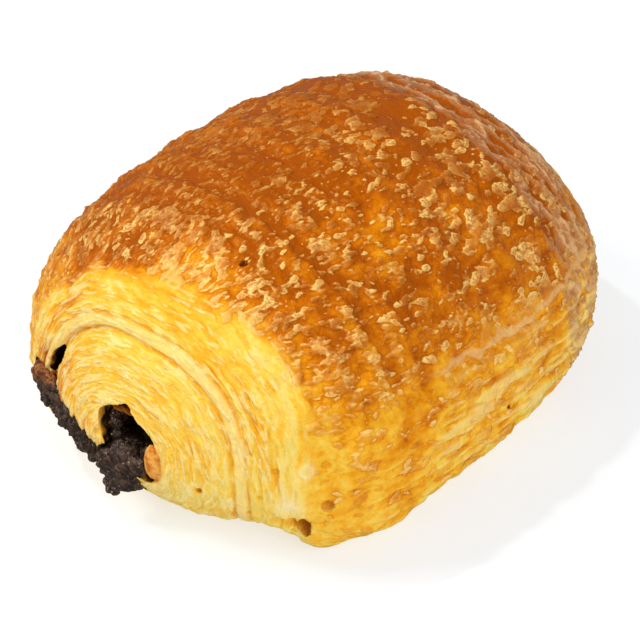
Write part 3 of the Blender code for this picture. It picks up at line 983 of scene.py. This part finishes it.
def add_flakes(at):
    """Adds the flakes and islands, and keeps how deep each point lies inside one, and its tone with the
    painted light on the flakes.
    """
    x, y, _ = at.places.T
    round_way = np.stack([np.zeros(len(x)), -np.sin(at.angle), np.cos(at.angle)], axis=-1)
    lengthwise = np.where(at.face[:, None] > 0.5, round_way, np.array([1.0, 0.0, 0.0]))
    height, depth, tone = scatter_flakes(at, flake_room(at) + 1e-9, lengthwise)
    island = islands(at)
    height = np.maximum(height, 0.00022 * ease((island + 0.00008) / FLAKE_EDGE) * at.crust)
    island = np.where(at.crust > 0.5, island, NO_FLAKE)
    tone = np.where(island > depth, np.clip(0.45 + 0.8 * at.wavy(0.003, 30), 0.0, 1.0), tone)
    at.depth = np.maximum(depth, island)
    tone *= 1.0 - 0.55 * ease((y + 0.014) / 0.024) * ease((x + 0.036) / 0.01)
    at.tone = tone + 0.35 * hill(x, -0.0365, 0.004) * hill(y, -0.012, 0.014)
    at.relief += height * (1.0 - at.under) * (1.0 - 0.5 * at.low_side)


def wall_form(at):
    """The rough crumb on the walls of the openings. Keeps how far in each wall point lies."""
    at.wall_depth = np.zeros(len(at.places))
    skin = point_tree(at.places, ~at.wall)
    for index in np.flatnonzero(at.wall):
        at.wall_depth[index] = skin.find(at.places[index])[2]
    clump, next_clump, _ = cells(at.places + 0.0006 * at.wavy(0.002, 25)[:, None], 0.0026, 22)
    rough = 0.00045 * layered(at.places, 0.0022, 21, 3) - 0.0009 * ease((next_clump - clump) / 0.5)
    return rough * (ease(at.wall_depth / 0.0012) * (at.places[:, 0] < -0.0425))


def settled(places, moved):
    """Moved points, with the flat base kept on the floor and the rest above it."""
    on_floor = places[:, 2] < 0.0009
    moved[:, 2] = np.where(on_floor, np.maximum(moved[:, 2], 0.0), np.maximum(moved[:, 2], 0.00005))
    moved[on_floor, 2] = np.minimum(moved[on_floor, 2], places[on_floor, 2] + 0.0002)
    return moved


def dress_dough(dough):
    """Gives the dough its fine relief, and stores what its material needs to know."""
    mesh = dough.data
    at = survey(mesh)
    places = at.places
    end_layers(at)
    crust_forms(at)
    add_flakes(at)
    tail_relief, flap, slit = tail_folds(places)
    pit_relief, pit_shade = pits(places)
    at.relief += tail_relief
    at.relief += pit_relief
    relief = np.where(at.wall, wall_form(at), at.relief)
    move_points(mesh, settled(places, places + at.normals * relief[:, None]))
    # How far the relief turned each point's normal, for painted shade on steep slopes.
    steep_shade = 1.0 - (at.normals * point_normals(mesh)).sum(axis=1)
    fields = {
        "steep_shade": np.clip(steep_shade, 0.0, 1.0) * (~at.wall),
        "face": at.face,
        "streak": at.streak,
        "ribbon": at.ribbon * at.near_face,
        "flake": at.depth * 1000.0,
        "tone": at.tone,
        "ropes": at.far_edge * (0.48 - 1.6 * np.clip(at.ropy, 0.0, 0.6)),
        "seam": at.seam,
        "flap": flap,
        # Painted shade in the pits, the tail slit and the recess under the flap.
        "pit_shade": np.maximum(pit_shade, slit),
        # Height of the swellings and ropes, for painted light on their tops and painted shade between them.
        "rise": at.swelling * at.crust - 4.0 * at.far_edge * (at.ropy - 0.15),
        "fold": at.wrinkle * at.low_side * (1.0 - 0.6 * at.glazed),
        "browning_and_shading": browning_and_shading(places, at.share_here, at.face),
        "amber": within(places, EGG_CRUMB),
        "skin": np.maximum(*[within(places, bridge) for bridge in SKIN_BRIDGE]),
        "wall": at.wall.astype(float),
        "depth": at.wall_depth * (1.0 - 0.7 * blob(places, TAIL_BUBBLE[0], 0.0022, 4)) * 1000.0,
        "smear_and_shade": chocolate_smear_and_shade(places, at.wall, at.wall_depth),
    }
    for name, values in fields.items():
        store(mesh, name, values)
    store_places(mesh, "bent", at.bent)
    store_places(mesh, "ring", at.ring)
    mesh.shade_smooth()


def within(places, egg_place):
    """1 on and in an egg shape, 0 just outside it."""
    return ease((1.3 - distance(places, *egg_place)) / 0.2)


def trough(places, line, width):
    """1 along a line, falling off to its sides."""
    start, stop = np.array(line)
    run = stop - start
    share = np.clip(((places - start) @ run) / (run @ run), 0.0, 1.0)
    away = np.linalg.norm(places - start - share[:, None] * run, axis=1)
    return hill(away, 0.0, width)


def tail_folds(places):
    """The folds over the pocket at the low corner, the pale flap above it, and painted shade in the slit and
    in the recess under the flap.
    """
    off = places - np.array(TAIL_POCKET[0])
    spin = np.arctan2(off[:, 2], off[:, 1])
    tail = blob(places, TAIL_POCKET[0], 0.007)
    rim = distance(places, *TAIL_POCKET)
    folds = 0.0004 * np.cos(7.0 * spin + 60.0 * off[:, 0]) * ease((rim - 1.1) / 0.8)
    relief = tail * (folds + 0.00025)
    recess = trough(places, TAIL_TROUGH, 0.0013)
    relief -= 0.0018 * recess * ease((rim - 0.9) / 0.4)
    slit = np.maximum(trough(places, TAIL_SLIT, 0.0005), 0.5 * trough(places, TAIL_FOLD, 0.0005))
    relief -= 0.0011 * slit
    flap = blob(places, TAIL_FLAP, 0.0021)
    relief += 0.0004 * flap
    eye = distance(places, TAIL_EYE)
    relief += 0.0002 * hill(eye, 0.0011, 0.0004)
    flap = np.clip(1.3 * flap + 0.7 * hill(eye, 0.0011, 0.0005), 0.0, 1.0)
    # Painted shade in the slit and in the recess under the flap, strongest toward the pocket.
    return relief, flap, np.maximum(0.24 * slit, 0.26 * recess * ease((-0.031 - places[:, 1]) / 0.003))


def pits(places):
    """Small pits in the skin, and the painted shade that darkens them."""
    relief = np.zeros(len(places))
    dark = np.zeros(len(places))
    for *centre, radius, deep, painted_shade in PITS:
        away = distance(places, centre)
        shape = ease((1.45 * radius - away) / (0.7 * radius))
        relief -= deep * shape
        # The darkening of each pit is painted shade.
        dark = np.maximum(dark, painted_shade * shape)
    return relief, dark


def crust_level(places):
    """How far the crust is baked."""
    x, y, z = places.T
    wavy = partial(noise, places)
    top = ease((z - 0.014) / 0.037)
    level = 0.2 + 0.52 * top - 0.08 * ease((-0.015 - x) / 0.02) * (1.0 - top)
    level += 0.1 * ease((y - 0.005) / 0.02) * (1.0 - top)
    level += 0.15 * ease((x + 0.01) / 0.05) * top
    level += 0.13 * ease((x - 0.0) / 0.03) * ease((z - 0.006) / 0.012) * (1.0 - 0.6 * top)
    level -= 0.12 * ease((-y - 0.014) / 0.012) * ease((x - 0.004) / 0.012) * top
    level -= 0.17 * ease((-0.014 - x) / 0.012) * ease((0.044 - z) / 0.014) * ease((-y - 0.02) / 0.012)
    level += 0.4 * hill(x, -0.0262, 0.011) * ease((-y - 0.036) / 0.006) * ease((0.032 - z) / 0.008)
    level -= 0.06 * hill(x, -0.034, 0.006) * hill(y, -0.014, 0.01)
    level -= 0.09 * hill(x, -0.0225, 0.007) * hill(y, -0.0345, 0.006)
    level += 0.09 * ease((y + 0.01) / 0.03)
    level += 0.07 * ease((x - 0.006) / 0.014) * ease((y + 0.012) / 0.012) * top
    level += 0.08 * ease((x + 0.01) / 0.01) * ease((-y - 0.026) / 0.01) * ease((z - 0.031) / 0.008)
    level += 0.14 * hill(x, -0.006, 0.014) * hill(y, -0.004, 0.014) * top
    level += 0.09 * hill(x, -0.014, 0.01) * hill(y, 0.006, 0.01) * top
    level -= 0.08 * hill(x, -0.006, 0.009) * hill(y, -0.026, 0.005) * top
    level += 0.09 * ease((x - 0.018) / 0.008) * ease((-y - 0.006) / 0.01) * top
    corner = mix(0.1, 0.31, ease((x + 0.0385) / 0.003)) + 0.05 * wavy(0.003, 58)
    level = mix(level, corner, blob(places, TAIL_POCKET[0], 0.0105, 4))
    level += (smooth_bands(places) - 0.3) * mix(-0.07, 0.13, ease((x + 0.033) / 0.008))
    level += 0.12 * wavy(0.012, 51) + 0.08 * wavy(0.0045, 52)
    level += 0.07 * layered(places, (0.01, 0.003, 0.003), 55, 2)
    edge = x + 0.003 * wavy(0.008, 56) + 0.01 * ease((y + 0.002) / 0.02)
    level = mix(0.27, level, ease((edge + 0.041) / 0.009))
    level -= 0.13 * ease((y - 0.018) / 0.01) * ease((-0.036 - x) / 0.006)
    level = mix(level, 0.14, ease((0.006 - z) / 0.006))
    return level


def face_level(places, share):
    """How far the end faces are baked, by the wraps that show and by the chocolate beside them, with painted
    shade in the grooves beside the ribbon and a painted highlight along the rim crest.
    """
    x, y, z = places.T
    wavy = partial(noise, places)
    on_face = 0.12 + 0.15 * hill(share, 0.82, 0.06) * ease((z - 0.006) / 0.02)
    on_face += 0.09 * (1.0 - ease((share - 0.52) / 0.1)) * ease((z - 0.016) / 0.01)
    on_face += 0.06 * hill(share, 0.97, 0.05) * ease((z - 0.024) / 0.01) + 0.05 * ease((y - 0.002) / 0.01)
    on_face -= 0.06 * ease((-0.02 - y) / 0.01) * ease((0.032 - z) / 0.01)
    on_face -= 0.04 * hill(share, 0.7, 0.03)
    on_face += 0.2 * ease((share - 0.84) / 0.1) * ease((z - 0.03) / 0.012) * ease((y + 0.026) / 0.02)
    # A paler band along the rim crest: painted highlight.
    on_face -= 0.12 * hill(share + 0.02 * wavy(0.005, 59), 0.945, 0.022) * ease((0.004 - y) / 0.01)
    # Both grooves beside the pale ribbon are painted more orange: painted shade.
    on_face += 0.14 * hill(share, 0.745, 0.012) + 0.2 * hill(share, 0.662, 0.012)
    on_face += 0.16 * hill(share, 0.58, 0.07) * ease((y - 0.004) / 0.01)
    on_face += 0.06 * wavy(0.007, 53) + 0.03 * wavy(0.003, 57)
    on_face += 0.22 * ease((x - 0.03) / 0.01) * ease((share - 0.62) / 0.15)
    beside = [trough(places, pair, 0.0042) for pair in zip(LEAK[1:], LEAK[2:])]
    on_face -= 0.12 * ease((y - 0.02) / 0.006) * ease((-0.03 - x) / 0.006)
    on_face += 0.52 * np.max(beside, axis=0) * ease(0.6 + 1.2 * wavy(0.0024, 61))
    on_face += 0.42 * blob(places, ABOVE_HEAD, 0.0024)
    return on_face


def browning_and_shading(places, share, face):
    """How far each point is baked, from 0, pale, to 1, dark brown, with some painted shade and highlight on
    the end faces.
    """
    return np.clip(mix(crust_level(places), face_level(places, share), face), 0.0, 1.0)


def chocolate_smear_and_shade(places, wall, wall_depth):
    """1 where the dough is smeared with chocolate round the sticks, and deep in the openings, where the near
    black is painted shade as well as smear.
    """
    x, y, z = places.T
    smear_and_shade = np.zeros(len(places))
    for stations in (RIGHT_STICK, LEFT_STICK):
        first = stations[0]
        across = np.abs(y - first[1]) / (first[3] + 0.0012)
        up = np.abs(z - first[2]) / (first[4] + 0.0012)
        near = (across**2.6 + up**2.6) ** (1.0 / 2.6)
        smear_and_shade = np.maximum(smear_and_shade, ease((1.15 - near) / 0.2) * wall)
    for opening, start in ((HOLLOW, 0.0004), (SLIT, 0.0003)):
        across = np.abs(y - opening[0] - opening[4] * (z - opening[1])) / (opening[2] + 0.002)
        up = np.abs(z - opening[1]) / (opening[3] + 0.002)
        inside = (np.maximum(across, up) < 1.0) * wall * (x < -0.03)
        smear_and_shade = np.maximum(smear_and_shade, inside * ease((wall_depth - start) / 0.0014))
    roof = ease((z - 0.029) / 0.0015) * (y < 0.006) * ease((0.0045 - wall_depth) / 0.002)
    smear_and_shade *= 1.0 - 0.8 * roof
    return np.clip(smear_and_shade * (1.05 + 0.25 * noise(places, 0.002, 54)), 0.0, 1.0)


def make_dough():
    """The whole roll with its openings and its fine surface."""
    rings, ends = body_grid()
    relief = end_relief(rings) + crust_relief(rings) + lump_relief(rings)
    rings = rings + grid_normals(rings) * relief[..., None]
    ends = ends + np.array([[-LOBE_BULGE, 0.0, 0.0], [LOBE_BULGE, 0.0, 0.0]])
    rings[..., 2] = np.maximum(rings[..., 2] - BASE_FLAT, 0.0)
    points = np.concatenate([rings.reshape(-1, 3), ends])
    dough = turned_out(add_object("pastry", points, grid_faces(len(rings), AROUND)))
    carve(
        dough,
        [
            tunnel("tunnel_right", RIGHT_STICK),
            tunnel("tunnel_left", LEFT_STICK),
            make_leak("channel", CLEARANCE),
            mouth("hollow", HOLLOW),
            mouth("slit", SLIT),
            egg("pocket", TAIL_POCKET),
            egg("bubble", TAIL_BUBBLE),
        ],
        [egg("crumb", EGG_CRUMB)] + [egg("bridge", bridge) for bridge in SKIN_BRIDGE],
    )
    dress_dough(dough)
    return dough


# Materials


class Amount:
    """A node's output that can be reckoned with like a number."""

    def __init__(self, look, socket):
        self.look = look
        self.socket = socket

    def __add__(self, other):
        return self.look.math("ADD", self, other)

    def __sub__(self, other):
        return self.look.math("SUBTRACT", self, other)

    def __rsub__(self, other):
        return self.look.math("SUBTRACT", other, self)

    def __mul__(self, other):
        return self.look.math("MULTIPLY", self, other)

    def __abs__(self):
        return self.look.math("ABSOLUTE", self)


class Look:
    """A material or a world being put together from nodes."""

    def __init__(self, owner, shader="Principled BSDF"):
        owner.use_nodes = True
        self.owner = owner
        self.tree = owner.node_tree
        self.shader = self.tree.nodes[shader]

    def fill(self, node, inputs):
        """Sets inputs of a node, each to a value or to another node's output."""
        for name, value in inputs.items():
            socket = node.inputs[name]
            if isinstance(value, Amount):
                self.tree.links.new(value.socket, socket)
            elif socket.type == "RGBA":
                socket.default_value = (*value, 1.0)
            else:
                socket.default_value = value

    def finished(self, inputs):
        """The material or world, with the inputs of its shader set."""
        self.fill(self.shader, inputs)
        return self.owner

    def node(self, kind, inputs=(), output=0, **settings):
        """An output of a new node."""
        made = self.tree.nodes.new(kind)
        for key, value in settings.items():
            setattr(made, key, value)
        self.fill(made, dict(inputs))
        return Amount(self, made.outputs[output])

    def value(self, name, output="Fac"):
        """A number stored with the points."""
        return self.node("ShaderNodeAttribute", output=output, attribute_name=name)

    def places(self, stretch=(1.0, 1.0, 1.0), field=""):
        """The places of the surface, or places stored with its points, stretched along the axes."""
        source = self.value(field, "Vector") if field else self.node("ShaderNodeTexCoord", output="Object")
        return self.node("ShaderNodeMapping", {"Scale": stretch, "Vector": source})

    def noise(self, size, detail=3.0, stretch=(1.0, 1.0, 1.0), field=""):
        """Noise between 0 and 1 with features of a size in metres."""
        places = self.places(stretch, field)
        inputs = {"Scale": 1.0 / size, "Detail": detail, "Roughness": 0.55, "Vector": places}
        return self.node("ShaderNodeTexNoise", inputs, "Fac")

    def cells(self, size):
        """Distance to the nearest of scattered seeds."""
        inputs = {"Scale": 1.0 / size, "Vector": self.places()}
        return self.node("ShaderNodeTexVoronoi", inputs, "Distance")

    def math(self, operation, *values):
        """What an operation makes of its values."""
        return self.node("ShaderNodeMath", enumerate(values), operation=operation)

    def spread(self, value, low, high, to_low=0.0, to_high=1.0):
        """Maps a range onto another, smoothly and held at both ends."""
        inputs = {"Value": value, "From Min": low, "From Max": high, "To Min": to_low, "To Max": to_high}
        return self.node("ShaderNodeMapRange", inputs, "Result", interpolation_type="SMOOTHSTEP")

    def ramp(self, value, stops):
        """Colours along a value."""
        made = self.node("ShaderNodeValToRGB", {"Fac": value}, "Color")
        line = made.socket.node.color_ramp
        while len(line.elements) < len(stops):
            line.elements.new(0.5)
        for element, (place, colour) in zip(line.elements, stops):
            element.position = place
            element.color = (*colour, 1.0)
        return made

    def blend(self, share, first, second):
        """Mixes two colours."""
        return self.node("ShaderNodeMix", {0: share, 6: first, 7: second}, 2, data_type="RGBA")

    def bump(self, height, distance, strength, under=None):
        """A bump of a height in metres, on top of another one."""
        inputs = {"Height": height, "Distance": distance, "Strength": strength}
        if under:
            inputs["Normal"] = under
        return self.node("ShaderNodeBump", inputs, "Normal")


def baked_and_shaded_level(look, face, inside, soft, fine, strands):
    """How far each place is baked, with its unevenness, and the painted light and shade that follow its
    relief, its flakes and its pits.
    """
    off_face = 1.0 - face
    level = look.value("browning_and_shading")
    level += (soft - 0.5) * 0.3
    level += (fine - 0.5) * 0.2
    blotch = look.noise(0.0019, 3.0, (0.7, 1.0, 1.0))
    level += (blotch - 0.5) * off_face * 0.42
    # Paler on the swellings and rope crests, darker in the hollows between: painted light and shade following
    # the relief.
    level += look.value("rise") * -0.1
    streak = look.value("streak") + look.spread(strands, 0.25, 0.75, 0.4, -0.4)
    level += streak * face * -0.27
    # A darker band round the foot of each flake: painted shade, weaker where the crust is browner.
    outline = look.spread(inside, -0.3, -0.06) * off_face
    shade = look.value("browning_and_shading") * -0.18 + 0.19
    level += outline * shade
    level += look.value("ropes") * -0.34
    # Wrinkle hollows painted darker orange and crests paler: painted shade and light following the relief.
    level += look.value("fold") * -0.3
    # Steep slopes painted darker orange: painted shade.
    level += look.value("steep_shade") * (face * 0.5 + 0.3)
    # Pits, the tail slit and the recess under the flap are darkened: painted shade.
    return look.math("MINIMUM", level, 0.84) + look.value("pit_shade")


def flaked_colour(look, colour, face, inside, ragged, soft):
    """A colour with the flakes, ropes, torn seam and folds of the top layer on it, with the painted light on
    the flakes and painted glints, and where it flakes.
    """
    off_face = 1.0 - face
    chip = look.spread(inside, -0.05, 0.11)
    mask = chip * off_face
    colour = look.blend(chip * (face * 0.55), colour, PALE_FIBRE)
    # The flakes' tone carries their painted lit side.
    tone = look.value("tone")
    mottle = look.noise(0.0005, 2.0)
    middle = look.spread(inside, 0.08, 0.3) * look.spread(mottle, 0.4, 0.56)
    strength = look.spread(mottle * 1.5 + tone, 0.65, 1.6, 0.16, 0.95)
    strength = strength * (middle * -0.72 + 1.0)
    pale = look.blend(tone, (0.7, 0.28, 0.022), (0.98, 0.66, 0.2))
    flaked = look.blend(mask * strength, colour, pale)
    # Small pale specks on the crust: painted glints.
    speck_and_glint = look.spread(look.cells(0.0015) + ragged * 0.8, 0.09, 0.19, 0.45, 0.0)
    speck_and_glint = speck_and_glint * (off_face * look.spread(soft, 0.4, 0.6))
    flaked = look.blend(speck_and_glint, flaked, (0.93, 0.6, 0.2))
    for low, high, share, shade in ROPE_TONES:
        rope = look.spread(look.value("ropes") + ragged, low, high, 0.0, share)
        flaked = look.blend(rope, flaked, shade)
    torn = look.spread(look.value("seam") + ragged, 0.3, 0.8, 0.0, 0.75)
    flaked = look.blend(torn, flaked, (0.8, 0.45, 0.16))
    fold = look.spread(look.value("fold") + ragged, 0.1, 0.45, 0.0, 0.6)
    flaked = look.blend(fold, flaked, (0.9, 0.6, 0.2))
    return look.blend(look.value("flap") * 0.75, flaked, (0.95, 0.78, 0.42)), mask


def opened_colour(look, colour):
    """A colour with the crumb, the skin and the walls of the openings, pale at the lip and orange inside, and
    near black deep in them: painted shade as well as chocolate smear.
    """
    colour = look.blend(look.value("amber"), colour, look.ramp(look.noise(0.0016, 2.0), EGG_STOPS))
    inner = look.ramp(look.value("depth") * 0.3, INNER_STOPS)
    colour = look.blend(look.value("wall"), colour, inner)
    colour = look.blend(look.value("skin"), colour, (0.34, 0.1, 0.01))
    # Near black deep in the openings and round the sticks: chocolate smear and painted shade.
    return look.blend(look.value("smear_and_shade"), colour, (0.012, 0.005, 0.0028))


def dough_look():
    """Glazed crust, pale flakes, and yellow layered dough on the ends."""
    look = Look(bpy.data.materials.new("baked_dough"))
    face = look.value("face")
    fine = look.noise(0.0009, 3.0)
    soft = look.noise(0.0042, 4.0)
    strands = look.noise(0.0005, 3.0, (1.0, 0.08, 0.08), field="ring")
    ragged = (look.noise(0.00042, 3.0) - 0.5) * 0.25
    inside = look.value("flake") + ragged
    colour = look.ramp(baked_and_shaded_level(look, face, inside, soft, fine, strands), CRUST_STOPS)
    colour = look.blend(look.value("ribbon") * 0.6, colour, (0.93, 0.67, 0.23))
    thread = look.noise(0.0012, 2.0, (1.0, 0.07, 0.07), field="ring")
    fibre = look.spread(abs(thread - 0.5), 0.0, 0.035, 1.0, 0.0)
    fibre = fibre * (face * look.spread(look.noise(0.0034, 2.0), 0.42, 0.62))
    colour = look.blend(fibre * 0.75, colour, PALE_FIBRE)
    colour, mask = flaked_colour(look, colour, face, inside, ragged, soft)

    rough = mask * 0.12 + 0.22
    rough += face * 0.18
    rough += look.value("amber") * -0.22
    rough += (fine - 0.5) * 0.2
    rough += look.value("smear_and_shade") * rough * -0.55

    edge_mask = look.spread(inside, -0.16, 0.14) * (face * -0.5 + 1.0)
    edge = look.bump(edge_mask, 0.0001, 0.8)
    grain = look.bump(look.noise(0.0007, 4.0), 0.00024, 0.8, edge)
    wave = look.bump(look.noise(0.0022, 3.0), 0.0008, 0.8, grain)
    combed = fibre * 0.5 + strands * face
    lines = look.bump(combed, 0.00024, 0.8, wave)
    inputs = {
        "Base Color": opened_colour(look, colour),
        "Roughness": rough,
        "Normal": lines,
        "Subsurface Weight": face * 0.2 + 0.06,
        "Subsurface Radius": (1.0, 0.45, 0.12),
        "Subsurface Scale": 0.001,
        "Specular IOR Level": 0.45,
        "Specular Tint": look.blend(mask, (1.0, 0.58, 0.1), (1.0, 0.84, 0.5)),
        "IOR": 1.45,
    }
    return look.finished(inputs)


def chocolate_look():
    """Baked dark chocolate: crumbly, greyish where it is dry, glossy in spots, with pale lines and specks
    that are partly painted highlights.
    """
    look = Look(bpy.data.materials.new("baked_chocolate"))
    fine = look.noise(0.0006, 4.0)
    level = (fine - 0.5) * 0.8 + look.value("crumb")
    # Paler scratches, partly painted sheen.
    scratch_and_sheen = look.noise(0.0008, 3.0, (1.0, 1.0, 0.3))
    level += look.spread(scratch_and_sheen, 0.52, 0.7) * 0.35
    colour = look.ramp(level, CHOCOLATE_STOPS)
    gloss = look.value("gloss")
    colour = look.blend(gloss * 0.75, colour, (0.01, 0.0042, 0.0026))
    # Pale specks on the chocolate, made bright to stand in for glints: partly painted glints.
    speck_and_glint = look.spread(look.cells(0.0013), 0.13, 0.19, 1.0, 0.0)
    speck_and_glint = speck_and_glint * look.spread(look.noise(0.003, 2.0), 0.46, 0.6, 0.0, 0.8)
    colour = look.blend(speck_and_glint, colour, (0.42, 0.3, 0.2))
    # Thin pale lines: painted highlight lines, partly scratches.
    thin = abs(look.noise(0.0016, 2.0, (1.0, 0.6, 0.35)) - 0.5)
    streak = look.spread(thin, 0.0, 0.018, 0.75, 0.0) * look.spread(fine, 0.44, 0.6)
    colour = look.blend(streak, colour, (0.26, 0.19, 0.14))
    milky = look.ramp(look.noise(0.001, 3.0), MILKY_STOPS)
    colour = look.blend(look.value("milky"), colour, milky)
    rough = look.spread(look.noise(0.0016, 3.0), 0.42, 0.62, 0.11, 0.42)
    rough += look.math("MAXIMUM", gloss, look.value("milky")) * -0.14
    grain = look.bump(look.noise(0.0005, 4.0), 0.0003, 0.9)
    inputs = {
        "Base Color": colour,
        "Roughness": rough,
        "Normal": look.bump(look.noise(0.0014, 3.0), 0.0005, 0.7, grain),
        "IOR": 1.6,
        "Specular Tint": (1.0, 0.82, 0.68),
    }
    return look.finished(inputs)


def floor_look():
    """A white table top that glows, more strongly away from the middle: painted light that fills its shadows.
    It is slightly bluish, and dark to glossy rays.
    """
    look = Look(bpy.data.materials.new("glowing_white_floor"))
    # Slightly bluish, to offset the orange light bounced from the pastry: painted light.
    colour = look.ramp(look.noise(0.02, 2.0), ((0.3, (0.4, 0.43, 0.47)), (0.7, (0.42, 0.45, 0.49))))
    mirrored = look.node("ShaderNodeLightPath", output="Is Glossy Ray")
    away = look.node("ShaderNodeVectorMath", {0: look.places()}, "Value", operation="LENGTH")
    inputs = {
        "Base Color": look.blend(mirrored, colour, (0.1, 0.1, 0.1)),
        "Roughness": 0.8,
        "Specular IOR Level": 0.1,
        # The floor glows, more away from the middle: painted light that fills its shadows.
        "Emission Color": (1.0, 1.0, 1.0),
        "Emission Strength": look.spread(away, 0.3, 1.3, 0.58, 0.86) * (mirrored * -0.9 + 1.0),
    }
    return look.finished(inputs)


def wear(thing, look):
    """Gives an object one material."""
    thing.data.materials.clear()
    thing.data.materials.append(look)
    slots = np.zeros(len(thing.data.polygons), dtype=np.int32)
    thing.data.polygons.foreach_set("material_index", slots)


# The studio


def make_floor():
    """A wide plain floor."""
    half = 3.0
    corners = [(-half, -half, 0.0), (half, -half, 0.0), (half, half, 0.0), (-half, half, 0.0)]
    floor = add_object("floor", corners, [(0, 1, 2, 3)])
    wear(floor, floor_look())


def area_light(name, place, aim, size, power, colour):
    """A soft square light."""
    lamp = bpy.data.lights.new(name, "AREA")
    lamp.shape = "SQUARE"
    lamp.size = size
    lamp.energy = power
    lamp.color = colour
    thing = bpy.data.objects.new(name, lamp)
    thing.location = place
    look_down = Vector(aim) - Vector(place)
    thing.rotation_euler = look_down.to_track_quat("-Z", "Y").to_euler()
    bpy.context.scene.collection.objects.link(thing)


def make_light():
    """A bright tent with a light high at the back left, a soft one in front, and one for the glaze."""
    sky = Look(bpy.data.worlds.new("tent"), "Background")
    mirrored = sky.node("ShaderNodeLightPath", output="Is Glossy Ray")
    seen = sky.node("ShaderNodeLightPath", output="Is Camera Ray")
    strength = seen * 0.5 + (mirrored * -0.34 + 0.5)
    bpy.context.scene.world = sky.finished({"Color": (1.0, 1.0, 1.0), "Strength": strength})
    middle = (0.0, 0.0, 0.02)
    area_light("key", (-0.46, 0.46, 0.72), middle, 0.22, 3.6, (1.0, 0.99, 0.97))
    area_light("front", (-0.18, -0.72, 0.62), middle, 0.5, 3.5, (1.0, 0.99, 0.97))
    area_light("spark", (-0.22, 0.4, 0.84), middle, 0.04, 2.2, (1.0, 0.99, 0.96))


def make_camera():
    """The camera at the photo's bearing, aimed so that the frame needs no shift."""
    bearing = math.radians(BEARING)
    lift = math.radians(ELEVATION)
    back = Vector(
        (math.sin(bearing) * math.cos(lift), -math.cos(bearing) * math.cos(lift), math.sin(lift))
    )
    eye = Vector(TARGET) + back * DISTANCE
    turn = back.to_track_quat("Z", "Y")
    right = turn @ Vector((1.0, 0.0, 0.0))
    up = turn @ Vector((0.0, 1.0, 0.0))
    focal = PIXELS_A_METRE * DISTANCE
    aside = (0.5 * PICTURE - TARGET_PIXEL[0]) / focal
    down = (0.5 * PICTURE - TARGET_PIXEL[1]) / focal
    axis = -back + right * aside - up * down
    turn = (-back).rotation_difference(axis.normalized()) @ turn
    lens = bpy.data.cameras.new("camera")
    lens.sensor_width = 36.0
    lens.lens = 36.0 * focal / PICTURE
    lens.clip_start = 0.05
    lens.clip_end = 20.0
    camera = bpy.data.objects.new("camera", lens)
    camera.matrix_world = Matrix.Translation(eye) @ turn.to_matrix().to_4x4()
    bpy.context.scene.collection.objects.link(camera)
    bpy.context.scene.camera = camera


def main():
    """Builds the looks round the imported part."""
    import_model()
    make_camera()
    make_light()
    make_floor()
    dough = make_dough()
    wear(dough, dough_look())
    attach(dough, "root")
    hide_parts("dough")
    chocolate = chocolate_look()
    left, right = make_chocolate()
    for piece, node in ((left, "stick_left"), (right, "stick_right")):
        wear(piece, chocolate)
        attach(piece, "root")
        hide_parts(node)
    bpy.context.scene.view_settings.view_transform = "Standard"


main()
